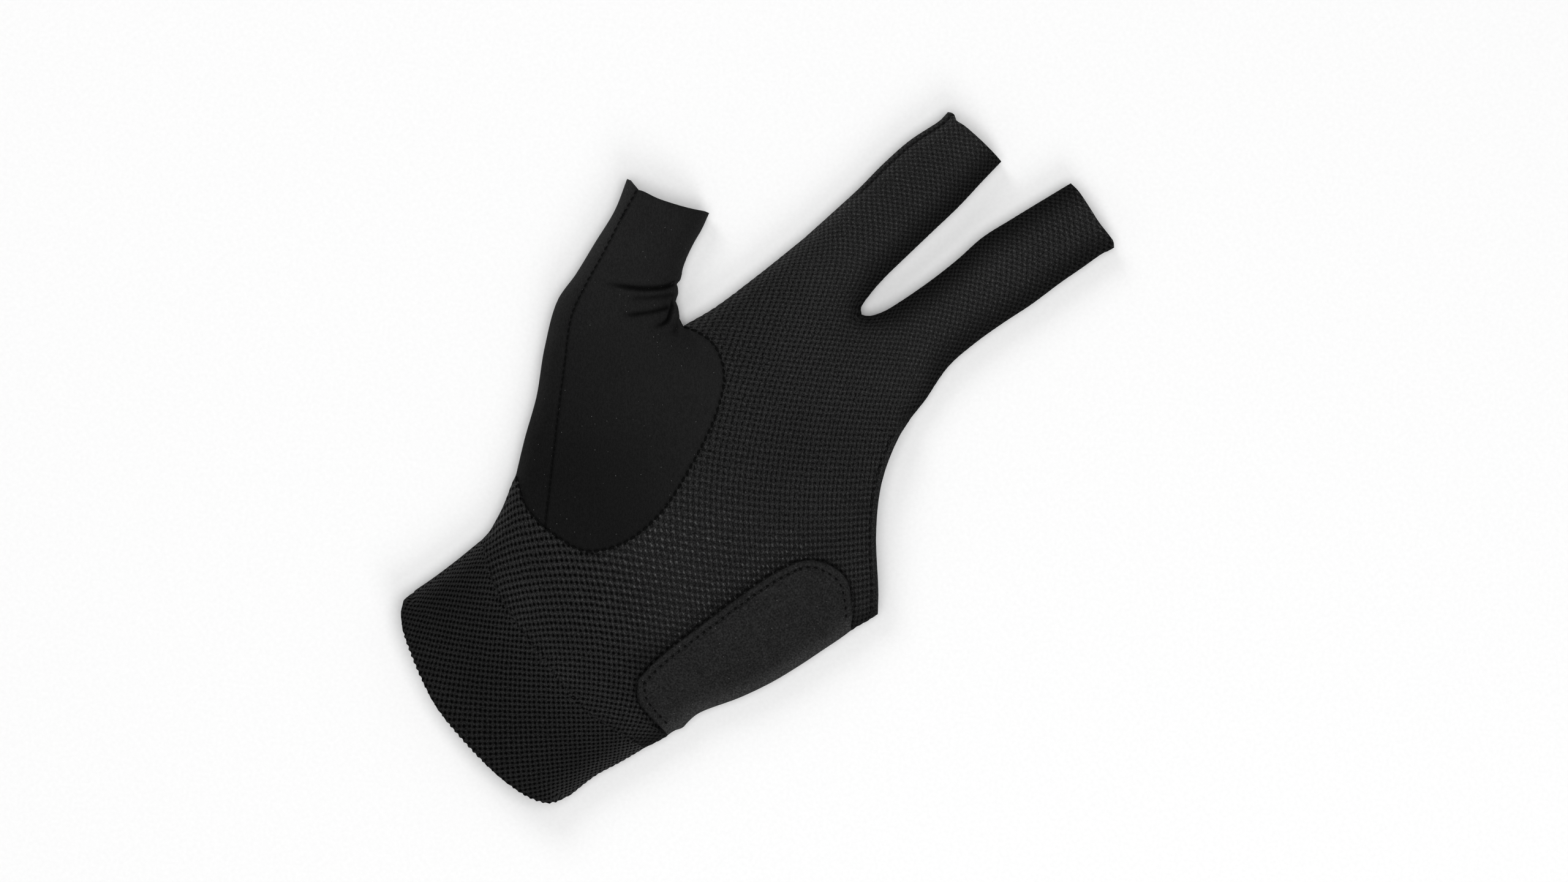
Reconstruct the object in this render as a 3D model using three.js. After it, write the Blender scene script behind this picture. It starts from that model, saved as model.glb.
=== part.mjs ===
// Three-finger billiard glove for the left hand, lying on its back with the palm side up.
// Millimetres. +Y runs from the cuff to the fingertips, +X towards the little-finger side, +Z is up.
// The origin is on the surface the glove lies on, under the middle of its outline.
// Thumb, index and middle finger are open-ended tubes, and a concave opening leaves the other two fingers free.
import * as THREE from 'three';

// Walls and gaps
const MESH_WALL = 1.2;
const SMOOTH_WALL = 1.2;
const CUFF_WALL = 2.0;
const TAB_WALL = 1.8;
const TAB_UNDER_WALL = 1.5;
const HOOK_WALL = 1.0;
const HEM_EXTRA = 0.8;
const HEM_WIDTH = 2.6;
const GAP = 0.3;

// Heights of the shell: the side folds lie at FOLD_HEIGHT, the underside is flat on the surface
const FOLD_HEIGHT = 4.2;
const UNDER_ROUND = 5.5;
const UNDER_ROUND_AT_TAB = 3.2;

// Closure tab: how far it stands off the mesh it wraps, and the width of its leg under the glove
const TAB_STAND = 2.3;
const TAB_LIFT = 1.3;
const TAB_UNDER_WIDTH = 14;
const TAB_TOP = -9.8;
const TAB_BOTTOM = -69.8;
const TAB_PRESS = 2.2;

// Grid sizes: rows run from the fingertips to the cuff, columns across
const FINGER_ROWS = 15;
const FINGER_COLUMNS = 8;
const BACK_FINGER_ROWS = 11;
const BACK_FINGER_COLUMNS = 7;
const THUMB_ROWS = 27;
const PATCH_ROWS = 20;
const PLAN_COLUMNS = 24;
const PLAN_ROUNDS = 400;
const EDGE_STEP = 0.7;
const SNAP = 0.2;
const TIGHTEST_TURN = 1.7;
const SLOPE_STEP = 0.2;

const table = (columns, rows) => {
  const names = columns.split(' ');
  return rows.map((row) => Object.fromEntries(names.map((name, i) => [name, row[i]])));
};

// Sides of the two fingers at sections along them
const FINGERS = table('y indexOuter indexInner middleInner middleOuter', [
  [98, -31.4, -10.2, 3.6, 26.6],
  [88, -32.0, -8.4, 2.8, 26.6],
  [78, -31.2, -7.2, 3.6, 26.0],
  [68, -29.7, -6.0, 3.8, 25.8],
  [58, -28.7, -4.7, 3.4, 26.6],
]);
const TIPS = {
  indexOuter: [-30.6, 101.3],
  indexInner: [-11.0, 105.2],
  middleInner: [5.4, 117.5],
  middleOuter: [27.0, 116.8],
};
const KNUCKLE_OUTER = [-27.7, 47];
const KNUCKLE_INNER = [30.3, 47];
const FINGER_CROTCH = [-0.3, 47];
const CROTCH_INDEX_SIDE = table('x y', [[-3.5, 52.5], [-1.9, 48]]);
const CROTCH_MIDDLE_SIDE = table('x y', [[2.8, 52.5], [1.2, 48.2]]);

// Thumb stations from the tip to the wrist: outer fold, and the seam on the front beside it
const THUMB = table('outerX outerY seamX seamY', [
  [-71.4, 16.6, -67.4, 16.7],
  [-66.7, 8.2, -63.6, 8.5],
  [-62.7, -1.8, -58.5, -2.0],
  [-58.7, -11.8, -54.0, -12.0],
  [-55.8, -20.5, -49.5, -20.0],
  [-47.0, -31.8, -40.0, -29.5],
  [-37.4, -41.8, -31.0, -38.3],
  [-29.7, -51.8, -20.5, -48.2],
]);
const THUMB_OUTER_END = [-22.9, -60.0];
const THUMB_SEAM_END = [-5.5, -62.3];
const THUMB_PANEL_FOOT = { left: [-6.2, -61.0], right: [-5.0, -61.6] };
const THUMB_TIP = table('x y', [[-64.5, 18.6], [-60, 21], [-55, 24.5]]);
const THUMB_TIP_INNER = [-49.5, 29.3];
const THUMB_CROTCH = [-28.3, 3.9];
const THUMB_INNER = table('x y', [[-45.2, 19.5], [-42, 14], [-39.5, 9.6], [-35.2, 6.4]]);

// Seam of the smooth palm patch, from the thumb crotch round to the wrist
const PATCH_SEAM = table('x y', [
  [-20, 6.6],
  [-14, 6.8],
  [-8, 3.5],
  [-2, -4],
  [5, -17.5],
  [11, -34],
  [11.3, -47],
  [6.5, -57],
]);
const PATCH_SEAM_FOOT = table('x y', [[-14, -62.9]]);
const BACK_SEAM = table('x y', [[-23, -12], [-18, -30], [-16.5, -45], [-18.8, -55]]);

// Sides of the hand and cuff at sections below the knuckles
const OPENING = table('x y', [[34.5, 34], [41.5, 23], [52, 13], [65, 4]]);
const OPENING_TOP = [32, 40.5];
const OPENING_CORNER = [71.4, -0.8];
const HAND_OUTER = table('x y', [
  [70.1, -8],
  [70, -18],
  [69.6, -27],
  [68.6, -37],
  [66.6, -47],
  [63.9, -57],
  [63.2, -67],
]);
const HAND_UPPER_INNER = table('x y', [[-27.1, 30], [-27.1, 14]]);
const HAND_INNER = table('x y', [[-18.4, -66.8], [-15.4, -73]]);
const CUFF_SEAM = table('x y', [[0, -84], [20, -85], [40, -84.5]]);
const CUFF_SEAM_INNER = [-13.8, -79];
const CUFF_SEAM_OUTER = [62.0, -77.5];
const CUFF_INNER = table('x y', [[-13.2, -92]]);
const CUFF_OUTER = table('x y', [[60.4, -91.5]]);
const MOUTH_INNER = [-13.5, -104.5];
const MOUTH_OUTER = [59.6, -105.0];
const MOUTH = table('x y', [
  [-11.5, -108.8],
  [-5, -112],
  [8, -116.2],
  [22, -117.5],
  [38, -116.2],
  [52, -112.3],
  [58, -108.8],
]);

// Closure tab outline on the front, and the hook patch beneath it
const TAB_DOME = table('x y', [[67, -6.5], [57, -2.2], [48, -6]]);
const TAB_INNER_TOP = [45.3, -10.5];
const TAB_INNER = table('x y', [[43.9, -20], [43.5, -45], [43.9, -60]]);
const TAB_INNER_BOTTOM = [45.2, -67];
const TAB_FOOT = table('x y', [[50, -70]]);
const HOOK = { left: 47, top: -13, bottom: -56, fromFold: 12.5 };

// Height of the front above the side folds, and how far in from a fold it becomes level
const SECTIONS = table('y rise round', [
  [118, 4.3, 9.5],
  [100, 5.0, 10.5],
  [60, 5.4, 11.0],
  [40, 6.6, 13.0],
  [15, 7.6, 16.0],
  [-40, 8.0, 18.0],
  [-80, 7.4, 16.0],
  [-118, 6.4, 13.0],
]);
const THUMB_RISE = 6.2;
const THUMB_ROUND = 9.0;
// The thumb's own height takes over from the palm's between these places
const THUMB_BLEND = { fromX: -26, toX: -44, fromY: 44, toY: 34 };
// The front sinks to this share of its height at the concave opening, over this distance
const OPENING_SINK = 0.62;
const OPENING_SINK_REACH = 26;
// The tab presses the front down from these x on, and the underside is raised over it from these
const PRESS_FROM = 37;
const PRESS_FULL = 43;
const RECESS_FROM = 26;
const RECESS_FULL = 34;
const RECESS_MARGIN = 3;
const RECESS_FADE = 7;
const CUFF_UNDER_ROUND = 7;

// Folds in the cloth: a ridge or, below zero, a crease along a straight line
const FOLDS = table('name x0 y0 x1 y1 width height', [
  ['upper thumb crease', -39.6, 7.5, -50, -5, 2.2, -1.5],
  ['upper thumb ridge', -43.5, 9.0, -54, -2, 2.8, 0.8],
  ['middle thumb crease', -36.6, 4.5, -40.5, -6, 1.9, -1.5],
  ['middle thumb ridge', -38.0, 6.0, -45, -5, 1.6, 0.9],
  ['crotch crease', -33.2, 3.5, -33.5, -3, 1.8, -1.3],
  ['crotch ridge', -34.9, 4.0, -37, -5, 1.5, 0.9],
  ['index swell', -4, 34, -10, 8, 9, 0.6],
  ['middle swell', 14, 30, 30, 4, 10, 0.6],
  ['palm swell', 20, -20, 26, -70, 9, 0.7],
  ['ridge beside the tab', 38, -4, 36, -64, 4, 0.6],
  ['cuff swell', 2, -92, 40, -95, 8, 0.5],
]);

const vector = (x, y) => new THREE.Vector3(x, y, 0);
const mix = THREE.MathUtils.lerp;
const smooth = (value, low, high) => THREE.MathUtils.smoothstep(value, low, high);

// A smooth curve through points given as pairs or as table rows with x and y.
function curve(...parts) {
  const points = parts.flat().map((p) => (Array.isArray(p) ? vector(p[0], p[1]) : vector(p.x, p.y)));
  return new THREE.CatmullRomCurve3(points, false, 'centripetal');
}

const column = (rows, x, y) => rows.map((row) => ({ x: row[x], y: row[y] }));
const pair = (point) => [{ x: point[0], y: point[1] }];

const indexOuter = curve(pair(TIPS.indexOuter), column(FINGERS, 'indexOuter', 'y'), pair(KNUCKLE_OUTER));
const indexInner = curve(
  pair(TIPS.indexInner), column(FINGERS, 'indexInner', 'y'), CROTCH_INDEX_SIDE, pair(FINGER_CROTCH));
const middleInner = curve(
  pair(TIPS.middleInner), column(FINGERS, 'middleInner', 'y'), CROTCH_MIDDLE_SIDE, pair(FINGER_CROTCH));
const middleOuter = curve(pair(TIPS.middleOuter), column(FINGERS, 'middleOuter', 'y'), pair(KNUCKLE_INNER));
const handUpperInner = curve(pair(KNUCKLE_OUTER), HAND_UPPER_INNER, pair(THUMB_CROTCH));
const handUpperOuter = curve(pair(KNUCKLE_INNER), pair(OPENING_TOP));
const opening = curve(pair(OPENING_TOP), OPENING, pair(OPENING_CORNER));
const handOuter = curve(pair(OPENING_CORNER), HAND_OUTER, pair(CUFF_SEAM_OUTER));
const handInner = curve(pair(THUMB_OUTER_END), HAND_INNER, pair(CUFF_SEAM_INNER));
const cuffSeam = curve(pair(CUFF_SEAM_INNER), CUFF_SEAM, pair(CUFF_SEAM_OUTER));
const cuffInner = curve(pair(CUFF_SEAM_INNER), CUFF_INNER, pair(MOUTH_INNER));
const cuffOuter = curve(pair(CUFF_SEAM_OUTER), CUFF_OUTER, pair(MOUTH_OUTER));
const mouth = curve(pair(MOUTH_INNER), MOUTH, pair(MOUTH_OUTER));
const thumbOuter = curve(column(THUMB, 'outerX', 'outerY'), pair(THUMB_OUTER_END));
const thumbSeam = curve(column(THUMB, 'seamX', 'seamY'), pair(THUMB_SEAM_END));
const thumbInner = curve(pair(THUMB_TIP_INNER), THUMB_INNER, pair(THUMB_CROTCH));
const thumbTip = curve(column(THUMB.slice(0, 1), 'seamX', 'seamY'), THUMB_TIP, pair(THUMB_TIP_INNER));
const patchSeam = curve(pair(THUMB_CROTCH), PATCH_SEAM, pair(THUMB_SEAM_END));
const patchFoot = curve(pair(THUMB_SEAM_END), PATCH_SEAM_FOOT, pair(THUMB_OUTER_END));
const backSeam = curve(pair(THUMB_CROTCH), BACK_SEAM, pair(THUMB_OUTER_END));

// One between low and high, fading to nothing over a distance outside them.
const band = (y, low, high, fade) => smooth(y, low - fade, low) * (1 - smooth(y, high, high + fade));

// How far the mesh edge is drawn in where the tab wraps round it.
const tabInset = (y) => TAB_STAND * band(y, TAB_BOTTOM - 1, TAB_TOP + 3.5, 5.5);

const handOuterInset = curve(
  handOuter.getSpacedPoints(30).map((p) => ({ x: p.x - tabInset(p.y), y: p.y })));

// The side folds as short segments with their outward direction.
// A fold's inside lies to the left of its downward run on its west side, and to the right on its east side.
function foldSegments(list) {
  return list.flatMap(({ run, west }) => {
    const points = run.getSpacedPoints(Math.ceil(run.getLength() / EDGE_STEP));
    return points.slice(1).map((b, i) => {
      const a = points[i];
      const along = b.clone().sub(a).normalize();
      const out = west ? vector(along.y, -along.x) : vector(-along.y, along.x);
      return { a, b, out };
    });
  });
}

const SHARED_FOLDS = [
  { run: indexOuter, west: true },
  { run: indexInner, west: false },
  { run: middleInner, west: true },
  { run: middleOuter, west: false },
  { run: handUpperInner, west: true },
  { run: handUpperOuter, west: false },
  { run: handInner, west: true },
  { run: cuffInner, west: true },
  { run: cuffOuter, west: false },
  { run: thumbOuter, west: true },
  { run: thumbInner, west: false },
];
const outerFolds = foldSegments([...SHARED_FOLDS, { run: handOuter, west: false }]);
const meshFolds = foldSegments([...SHARED_FOLDS, { run: handOuterInset, west: false }]);

// Distance from a point to the nearest side fold, with the outward direction there.
function nearestFold(x, y, folds) {
  let best = { distance: Infinity };
  for (const { a, b, out } of folds) {
    const dx = b.x - a.x;
    const dy = b.y - a.y;
    const t = THREE.MathUtils.clamp(((x - a.x) * dx + (y - a.y) * dy) / (dx * dx + dy * dy), 0, 1);
    const qx = a.x + dx * t;
    const qy = a.y + dy * t;
    const distance = Math.hypot(x - qx, y - qy);
    if (distance < best.distance) best = { distance, qx, qy, out };
  }
  return best;
}

function section(y, name) {
  const rows = SECTIONS;
  if (y >= rows[0].y) return rows[0][name];
  for (let i = 1; i < rows.length; i += 1) {
    const share = (y - rows[i].y) / (rows[i - 1].y - rows[i].y);
    if (share >= 0) return mix(rows[i][name], rows[i - 1][name], share);
  }
  return rows[rows.length - 1][name];
}

const thumbShare = (x, y) => smooth(-x, -THUMB_BLEND.fromX, -THUMB_BLEND.toX)
  * (1 - smooth(y, THUMB_BLEND.toY, THUMB_BLEND.fromY));

function foldHeight(x, y) {
  return FOLDS.reduce((sum, f) => {
    const dx = f.x1 - f.x0;
    const dy = f.y1 - f.y0;
    const length = Math.hypot(dx, dy);
    const along = ((x - f.x0) * dx + (y - f.y0) * dy) / length;
    const across = ((x - f.x0) * dy - (y - f.y0) * dx) / length;
    const past = Math.max(0, -along, along - length);
    return sum + f.height * Math.exp(-((across / f.width) ** 2) - (past / f.width) ** 2);
  }, 0);
}

// The cloth sinks towards an open edge, and under the closure tab.
const openingPoints = opening.getSpacedPoints(40);
function openingDistance(x, y) {
  return Math.min(...openingPoints.map((p) => Math.hypot(p.x - x, p.y - y)));
}

const underPress = (x, y) => smooth(x, PRESS_FROM, PRESS_FULL) * band(y, TAB_BOTTOM + 2, TAB_TOP + 4, 9);

function frontRise(x, y) {
  const rise = mix(section(y, 'rise'), THUMB_RISE, thumbShare(x, y));
  const sink = mix(OPENING_SINK, 1, smooth(openingDistance(x, y), 0, OPENING_SINK_REACH));
  return rise * sink + foldHeight(x, y) - TAB_PRESS * underPress(x, y);
}

// Where the cloth lies low its edge turns tighter, but never tighter than its wall allows.
const frontRound = (x, y) => Math.min(
  mix(section(y, 'round'), THUMB_ROUND, thumbShare(x, y)), frontRise(x, y) ** 2 / TIGHTEST_TURN);

// One over the tab's leg under the glove, fading to nothing round it.
const underTab = (x, y) => {
  const full = TAB_UNDER_WIDTH + RECESS_MARGIN;
  const near = 1 - smooth(nearestFold(x, y, outerFolds).distance, full, full + RECESS_FADE);
  return near * smooth(x, RECESS_FROM, RECESS_FULL) * band(y, TAB_BOTTOM - 4, TAB_TOP + 5, 6);
};
const backDrop = (x, y) => FOLD_HEIGHT - (TAB_UNDER_WALL + GAP) * underTab(x, y);
const backRound = (x, y) => mix(UNDER_ROUND, UNDER_ROUND_AT_TAB, underTab(x, y));

// A shell side: its height is FOLD_HEIGHT plus or minus its rise times the quarter round of the distance
// to the folds.
// It returns the point on the outside and the outward direction there.
function shellPoint(x, y, side) {
  let near = nearestFold(x, y, side.folds);
  let px = x;
  let py = y;
  if (near.distance < SNAP) {
    px = near.qx;
    py = near.qy;
    near = { ...near, distance: 0 };
  }
  const round = side.round(px, py);
  const out = near.distance > 0 ? vector(near.qx - px, near.qy - py).divideScalar(near.distance) : near.out;
  const s = 1 - Math.min(near.distance / round, 1);
  const w = Math.sqrt(1 - s * s);
  const rise = side.rise(px, py);
  const step = SLOPE_STEP;
  const slopeX = (side.rise(px + step, py) - side.rise(px - step, py)) / (2 * step);
  const slopeY = (side.rise(px, py + step) - side.rise(px, py - step)) / (2 * step);
  const lean = (rise * s) / round;
  const leanX = out.x * lean - w * w * slopeX;
  const leanY = out.y * lean - w * w * slopeY;
  const direction = new THREE.Vector3(leanX, leanY, side.up * w);
  const point = new THREE.Vector3(px, py, FOLD_HEIGHT + side.base + side.up * rise * w);
  return { point, direction: direction.normalize() };
}

const FRONT = { folds: meshFolds, up: 1, base: GAP, rise: frontRise, round: frontRound };
const WRAP_FRONT = { ...FRONT, base: 0, rise: (x, y) => frontRise(x, y) + GAP };
const BACK = { folds: meshFolds, up: -1, base: 0, rise: backDrop, round: backRound };
const CUFF_BACK = { ...BACK, round: () => CUFF_UNDER_ROUND };
const tabLift = (x, y) => TAB_LIFT * smooth(nearestFold(x, y, outerFolds).distance, 5, 11);
const TAB_FRONT = {
  folds: outerFolds,
  up: 1,
  base: 0,
  rise: (x, y) => frontRise(x, y) + GAP + TAB_STAND + tabLift(x, y),
  round: (x, y) => frontRound(x, y) + TAB_STAND,
};
const TAB_BACK = {
  folds: outerFolds,
  up: -1,
  base: 0,
  rise: () => FOLD_HEIGHT,
  round: () => UNDER_ROUND_AT_TAB + TAB_STAND,
};

// Points along one side of a grid: each run gives its own number of steps, and may be moved sideways by inset.
function sidePoints(runs) {
  const points = [];
  runs.forEach(({ run, steps, inset = 0 }) => {
    if (inset) points.pop();
    for (let i = points.length && !inset ? 1 : 0; i <= steps; i += 1) {
      const p = run.getPointAt(i / steps);
      const along = run.getTangentAt(i / steps);
      points.push(vector(p.x - along.y * inset, p.y + along.x * inset));
    }
  });
  return points;
}

// A plan grid between four sides, first blended from them and then relaxed until its lines are even
// and never cross.
function planGrid(left, right, top, bottom) {
  const rows = left.length - 1;
  const columns = top.length - 1;
  const grid = left.map((l, i) => top.map((t, j) => {
    const u = j / columns;
    const v = i / rows;
    const blend = (k) => mix(l[k], right[i][k], u) + mix(t[k], bottom[j][k], v)
      - mix(mix(left[0][k], right[0][k], u), mix(left[rows][k], right[rows][k], u), v);
    if (i === 0) return vector(t.x, t.y);
    if (i === rows) return vector(bottom[j].x, bottom[j].y);
    if (j === 0) return vector(l.x, l.y);
    if (j === columns) return vector(right[i].x, right[i].y);
    return vector(blend('x'), blend('y'));
  }));
  for (let round = 0; round < PLAN_ROUNDS; round += 1) {
    for (let i = 1; i < rows; i += 1) {
      for (let j = 1; j < columns; j += 1) relaxPoint(grid, i, j);
    }
  }
  return grid;
}

// One step of the elliptic grid equations at a grid point.
function relaxPoint(grid, i, j) {
  const up = grid[i - 1][j];
  const down = grid[i + 1][j];
  const west = grid[i][j - 1];
  const east = grid[i][j + 1];
  const rowX = (down.x - up.x) / 2;
  const rowY = (down.y - up.y) / 2;
  const colX = (east.x - west.x) / 2;
  const colY = (east.y - west.y) / 2;
  const alpha = colX * colX + colY * colY + 1e-9;
  const gamma = rowX * rowX + rowY * rowY + 1e-9;
  const beta = rowX * colX + rowY * colY;
  for (const k of ['x', 'y']) {
    const cross = grid[i + 1][j + 1][k] - grid[i + 1][j - 1][k] - grid[i - 1][j + 1][k] + grid[i - 1][j - 1][k];
    const sum = alpha * (up[k] + down[k]) + gamma * (west[k] + east[k]) - (beta / 2) * cross;
    grid[i][j][k] = sum / (2 * (alpha + gamma));
  }
}

const spaced = (run, count) => run.getSpacedPoints(count).map((p) => vector(p.x, p.y));
const straight = (a, b, count) => Array.from({ length: count + 1 }, (_, i) => a.clone().lerp(b, i / count));

// The point at a fraction across one row of a plan grid.
function acrossRow(row, fraction) {
  const place = THREE.MathUtils.clamp(fraction, 0, 1) * (row.length - 1);
  const i = Math.min(Math.floor(place), row.length - 2);
  return row[i].clone().lerp(row[i + 1], place - i);
}

// Column fractions crowded towards both folds, as equal angles round a half circle are.
const counted = (count, fraction) => Array.from({ length: count + 1 }, (_, k) => fraction(k / count));
const crowded = (count) => counted(count, (t) => 0.5 * (1 - Math.cos(Math.PI * t)));
// Column fractions crowded towards the first side only.
const crowdedFirst = (count) => counted(count, (t) => 1 - Math.cos(Math.PI * t / 2));

// Turns a plan grid and its column fractions into quads of shell points. Fractions may differ from row to row.
function shellQuads(plan, fractionsAt, side) {
  const rows = plan.map((row, i) => fractionsAt(i / (plan.length - 1)).map((f) => {
    const p = acrossRow(row, f);
    return shellPoint(p.x, p.y, side);
  }));
  const quads = quadsOf(rows);
  return side.up > 0 ? quads : quads.map((quad) => quad.reverse());
}

function quadsOf(rows) {
  const quads = [];
  for (let i = 1; i < rows.length; i += 1) {
    for (let j = 1; j < rows[i].length; j += 1) {
      quads.push([rows[i - 1][j - 1], rows[i][j - 1], rows[i][j], rows[i - 1][j]]);
    }
  }
  return quads;
}

// Gives a sheet of quads its wall: the same sheet is set inwards by the wall, and strips close its free edges.
function wallGeometry(quads, wallAt) {
  const positions = [];
  const numbers = new Map();
  const outer = [];
  const numberOf = ({ point, direction }) => {
    const key = `${point.x.toFixed(4)},${point.y.toFixed(4)},${point.z.toFixed(4)}`;
    if (!numbers.has(key)) {
      numbers.set(key, outer.length);
      outer.push({ point, direction });
    }
    return numbers.get(key);
  };
  const faces = [];
  const addFace = (a, b, c) => {
    if (a !== b && b !== c && c !== a) faces.push([a, b, c]);
  };
  quads.forEach((quad) => {
    const [a, b, c, d] = quad.map(numberOf);
    const shortAC = outer[a].point.distanceTo(outer[c].point) <= outer[b].point.distanceTo(outer[d].point);
    if (shortAC) {
      addFace(a, b, c);
      addFace(a, c, d);
    } else {
      addFace(a, b, d);
      addFace(b, c, d);
    }
  });
  outer.forEach(({ point }) => positions.push(point.x, point.y, point.z));
  outer.forEach(({ point, direction }) => {
    const set = point.clone().addScaledVector(direction, -wallAt(point));
    positions.push(set.x, set.y, set.z);
  });
  const count = outer.length;
  const index = [];
  const edges = new Set();
  faces.forEach(([a, b, c]) => {
    index.push(a, b, c, a + count, c + count, b + count);
    [[a, b], [b, c], [c, a]].forEach(([p, q]) => edges.add(`${p},${q}`));
  });
  edges.forEach((edge) => {
    const [p, q] = edge.split(',').map(Number);
    if (!edges.has(`${q},${p}`)) index.push(q, p, p + count, q, p + count, q + count);
  });
  const geometry = new THREE.BufferGeometry();
  geometry.setAttribute('position', new THREE.Float32BufferAttribute(positions, 3));
  geometry.setIndex(index);
  geometry.computeVertexNormals();
  return geometry;
}

// The fan of columns changes from the shared knuckle row to the even round of the finger above it.
function fingerFractions(count, west) {
  const even = crowded(count);
  const whole = crowded(2 * count);
  const knuckle = west ? whole.slice(0, count + 1).map((f) => 2 * f) : whole.slice(count).map((f) => 2 * f - 1);
  return (v) => even.map((f, k) => mix(knuckle[k], f, 1 - smooth(v, 0.6, 1)));
}

const cuffSeamRow = (shift) => cuffSeam.getSpacedPoints(PLAN_COLUMNS).map((p) => vector(p.x, p.y + shift));

// Mesh sheet over the hand, index and middle finger, for the front or for the back.
function handQuads(side, fingerRows, columns, innerRuns, outerRuns) {
  const crotch = vector(...FINGER_CROTCH);
  const halves = PLAN_COLUMNS / 2;
  const knuckleRow = [
    ...straight(vector(...KNUCKLE_OUTER), crotch, halves),
    ...straight(crotch, vector(...KNUCKLE_INNER), halves).slice(1),
  ];
  const hand = planGrid(sidePoints(innerRuns), sidePoints(outerRuns), knuckleRow, cuffSeamRow(GAP / 2));
  const index = planGrid(
    spaced(indexOuter, fingerRows), spaced(indexInner, fingerRows),
    straight(vector(...TIPS.indexOuter), vector(...TIPS.indexInner), halves), knuckleRow.slice(0, halves + 1));
  const middle = planGrid(
    spaced(middleInner, fingerRows), spaced(middleOuter, fingerRows),
    straight(vector(...TIPS.middleInner), vector(...TIPS.middleOuter), halves), knuckleRow.slice(halves));
  return [
    ...shellQuads(hand, () => crowded(2 * columns), side),
    ...shellQuads(index, fingerFractions(columns, true), side),
    ...shellQuads(middle, fingerFractions(columns, false), side),
  ];
}

const hemWall = (point) => MESH_WALL + HEM_EXTRA * (openingDistance(point.x, point.y) < HEM_WIDTH ? 1 : 0);

function palmPanel() {
  const quads = handQuads(FRONT, FINGER_ROWS, FINGER_COLUMNS, [
    { run: handUpperInner, steps: 8 },
    { run: patchSeam, steps: PATCH_ROWS, inset: GAP / 2 },
    { run: patchFoot, steps: 3, inset: GAP / 2 },
    { run: handInner, steps: 3 },
  ], [
    { run: handUpperOuter, steps: 2 },
    { run: opening, steps: 11 },
    { run: handOuterInset, steps: 21 },
  ]);
  return wallGeometry(quads, hemWall);
}

function backPanel() {
  const quads = handQuads(BACK, BACK_FINGER_ROWS, BACK_FINGER_COLUMNS, [
    { run: handUpperInner, steps: 5 },
    { run: backSeam, steps: PATCH_ROWS, inset: GAP / 2 },
    { run: handInner, steps: 3 },
  ], [
    { run: handUpperOuter, steps: 1 },
    { run: opening, steps: 7 },
    { run: handOuterInset, steps: 20 },
  ]);
  return wallGeometry(quads, hemWall);
}

// Smooth front of the thumb with the palm patch in one piece, closed at its foot by a short side.
function thumbPanel() {
  const left = sidePoints([{ run: thumbSeam, steps: THUMB_ROWS, inset: GAP / 2 }]);
  const right = sidePoints([
    { run: thumbInner, steps: THUMB_ROWS - PATCH_ROWS },
    { run: patchSeam, steps: PATCH_ROWS, inset: -GAP / 2 },
  ]);
  const foot = vector(...THUMB_PANEL_FOOT.left);
  left[THUMB_ROWS] = foot.clone();
  right[THUMB_ROWS] = vector(...THUMB_PANEL_FOOT.right);
  const top = spaced(thumbTip, PLAN_COLUMNS);
  top[0] = left[0].clone();
  const plan = planGrid(left, right, top, straight(foot, right[THUMB_ROWS], PLAN_COLUMNS));
  return wallGeometry(shellQuads(plan, () => crowded(12), FRONT), () => SMOOTH_WALL);
}

// Smooth back of the thumb: a strip in front of the outer fold, and the whole underside behind it.
function thumbBackPanel() {
  const fold = sidePoints([{ run: thumbOuter, steps: THUMB_ROWS }]);
  const seam = sidePoints([{ run: thumbSeam, steps: THUMB_ROWS, inset: -GAP / 2 }]);
  const foot = sidePoints([{ run: patchFoot, steps: PLAN_COLUMNS, inset: -GAP / 2 }]).reverse();
  seam[THUMB_ROWS] = vector(foot[PLAN_COLUMNS].x - 0.5, foot[PLAN_COLUMNS].y + 0.25);
  foot[PLAN_COLUMNS] = seam[THUMB_ROWS].clone();
  foot[0] = fold[THUMB_ROWS].clone();
  const strip = planGrid(fold, seam, straight(fold[0], seam[0], PLAN_COLUMNS), foot);
  const under = sidePoints([
    { run: thumbInner, steps: THUMB_ROWS - PATCH_ROWS },
    { run: backSeam, steps: PATCH_ROWS, inset: -GAP / 2 },
  ]);
  under[THUMB_ROWS] = fold[THUMB_ROWS].clone();
  const tip = [fold[0], ...spaced(thumbTip, PLAN_COLUMNS - 1)];
  const point = straight(fold[THUMB_ROWS], fold[THUMB_ROWS], PLAN_COLUMNS);
  const underside = planGrid(fold, under, tip, point);
  return wallGeometry([
    ...shellQuads(strip, () => crowdedFirst(4), WRAP_FRONT),
    ...shellQuads(underside, () => crowded(8), BACK),
  ], () => SMOOTH_WALL);
}

// Doubled mesh band: a tube whose front and back share both side folds.
function cuffBand() {
  const rows = 7;
  const seam = cuffSeamRow(-GAP / 2);
  const left = spaced(cuffInner, rows);
  const right = spaced(cuffOuter, rows);
  left[0] = seam[0].clone();
  right[0] = seam[PLAN_COLUMNS].clone();
  const plan = planGrid(left, right, seam, spaced(mouth, PLAN_COLUMNS));
  return wallGeometry([
    ...shellQuads(plan, () => crowded(18), { ...WRAP_FRONT, folds: outerFolds }),
    ...shellQuads(plan, () => crowded(18), { ...CUFF_BACK, folds: outerFolds }),
  ], () => CUFF_WALL);
}

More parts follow.
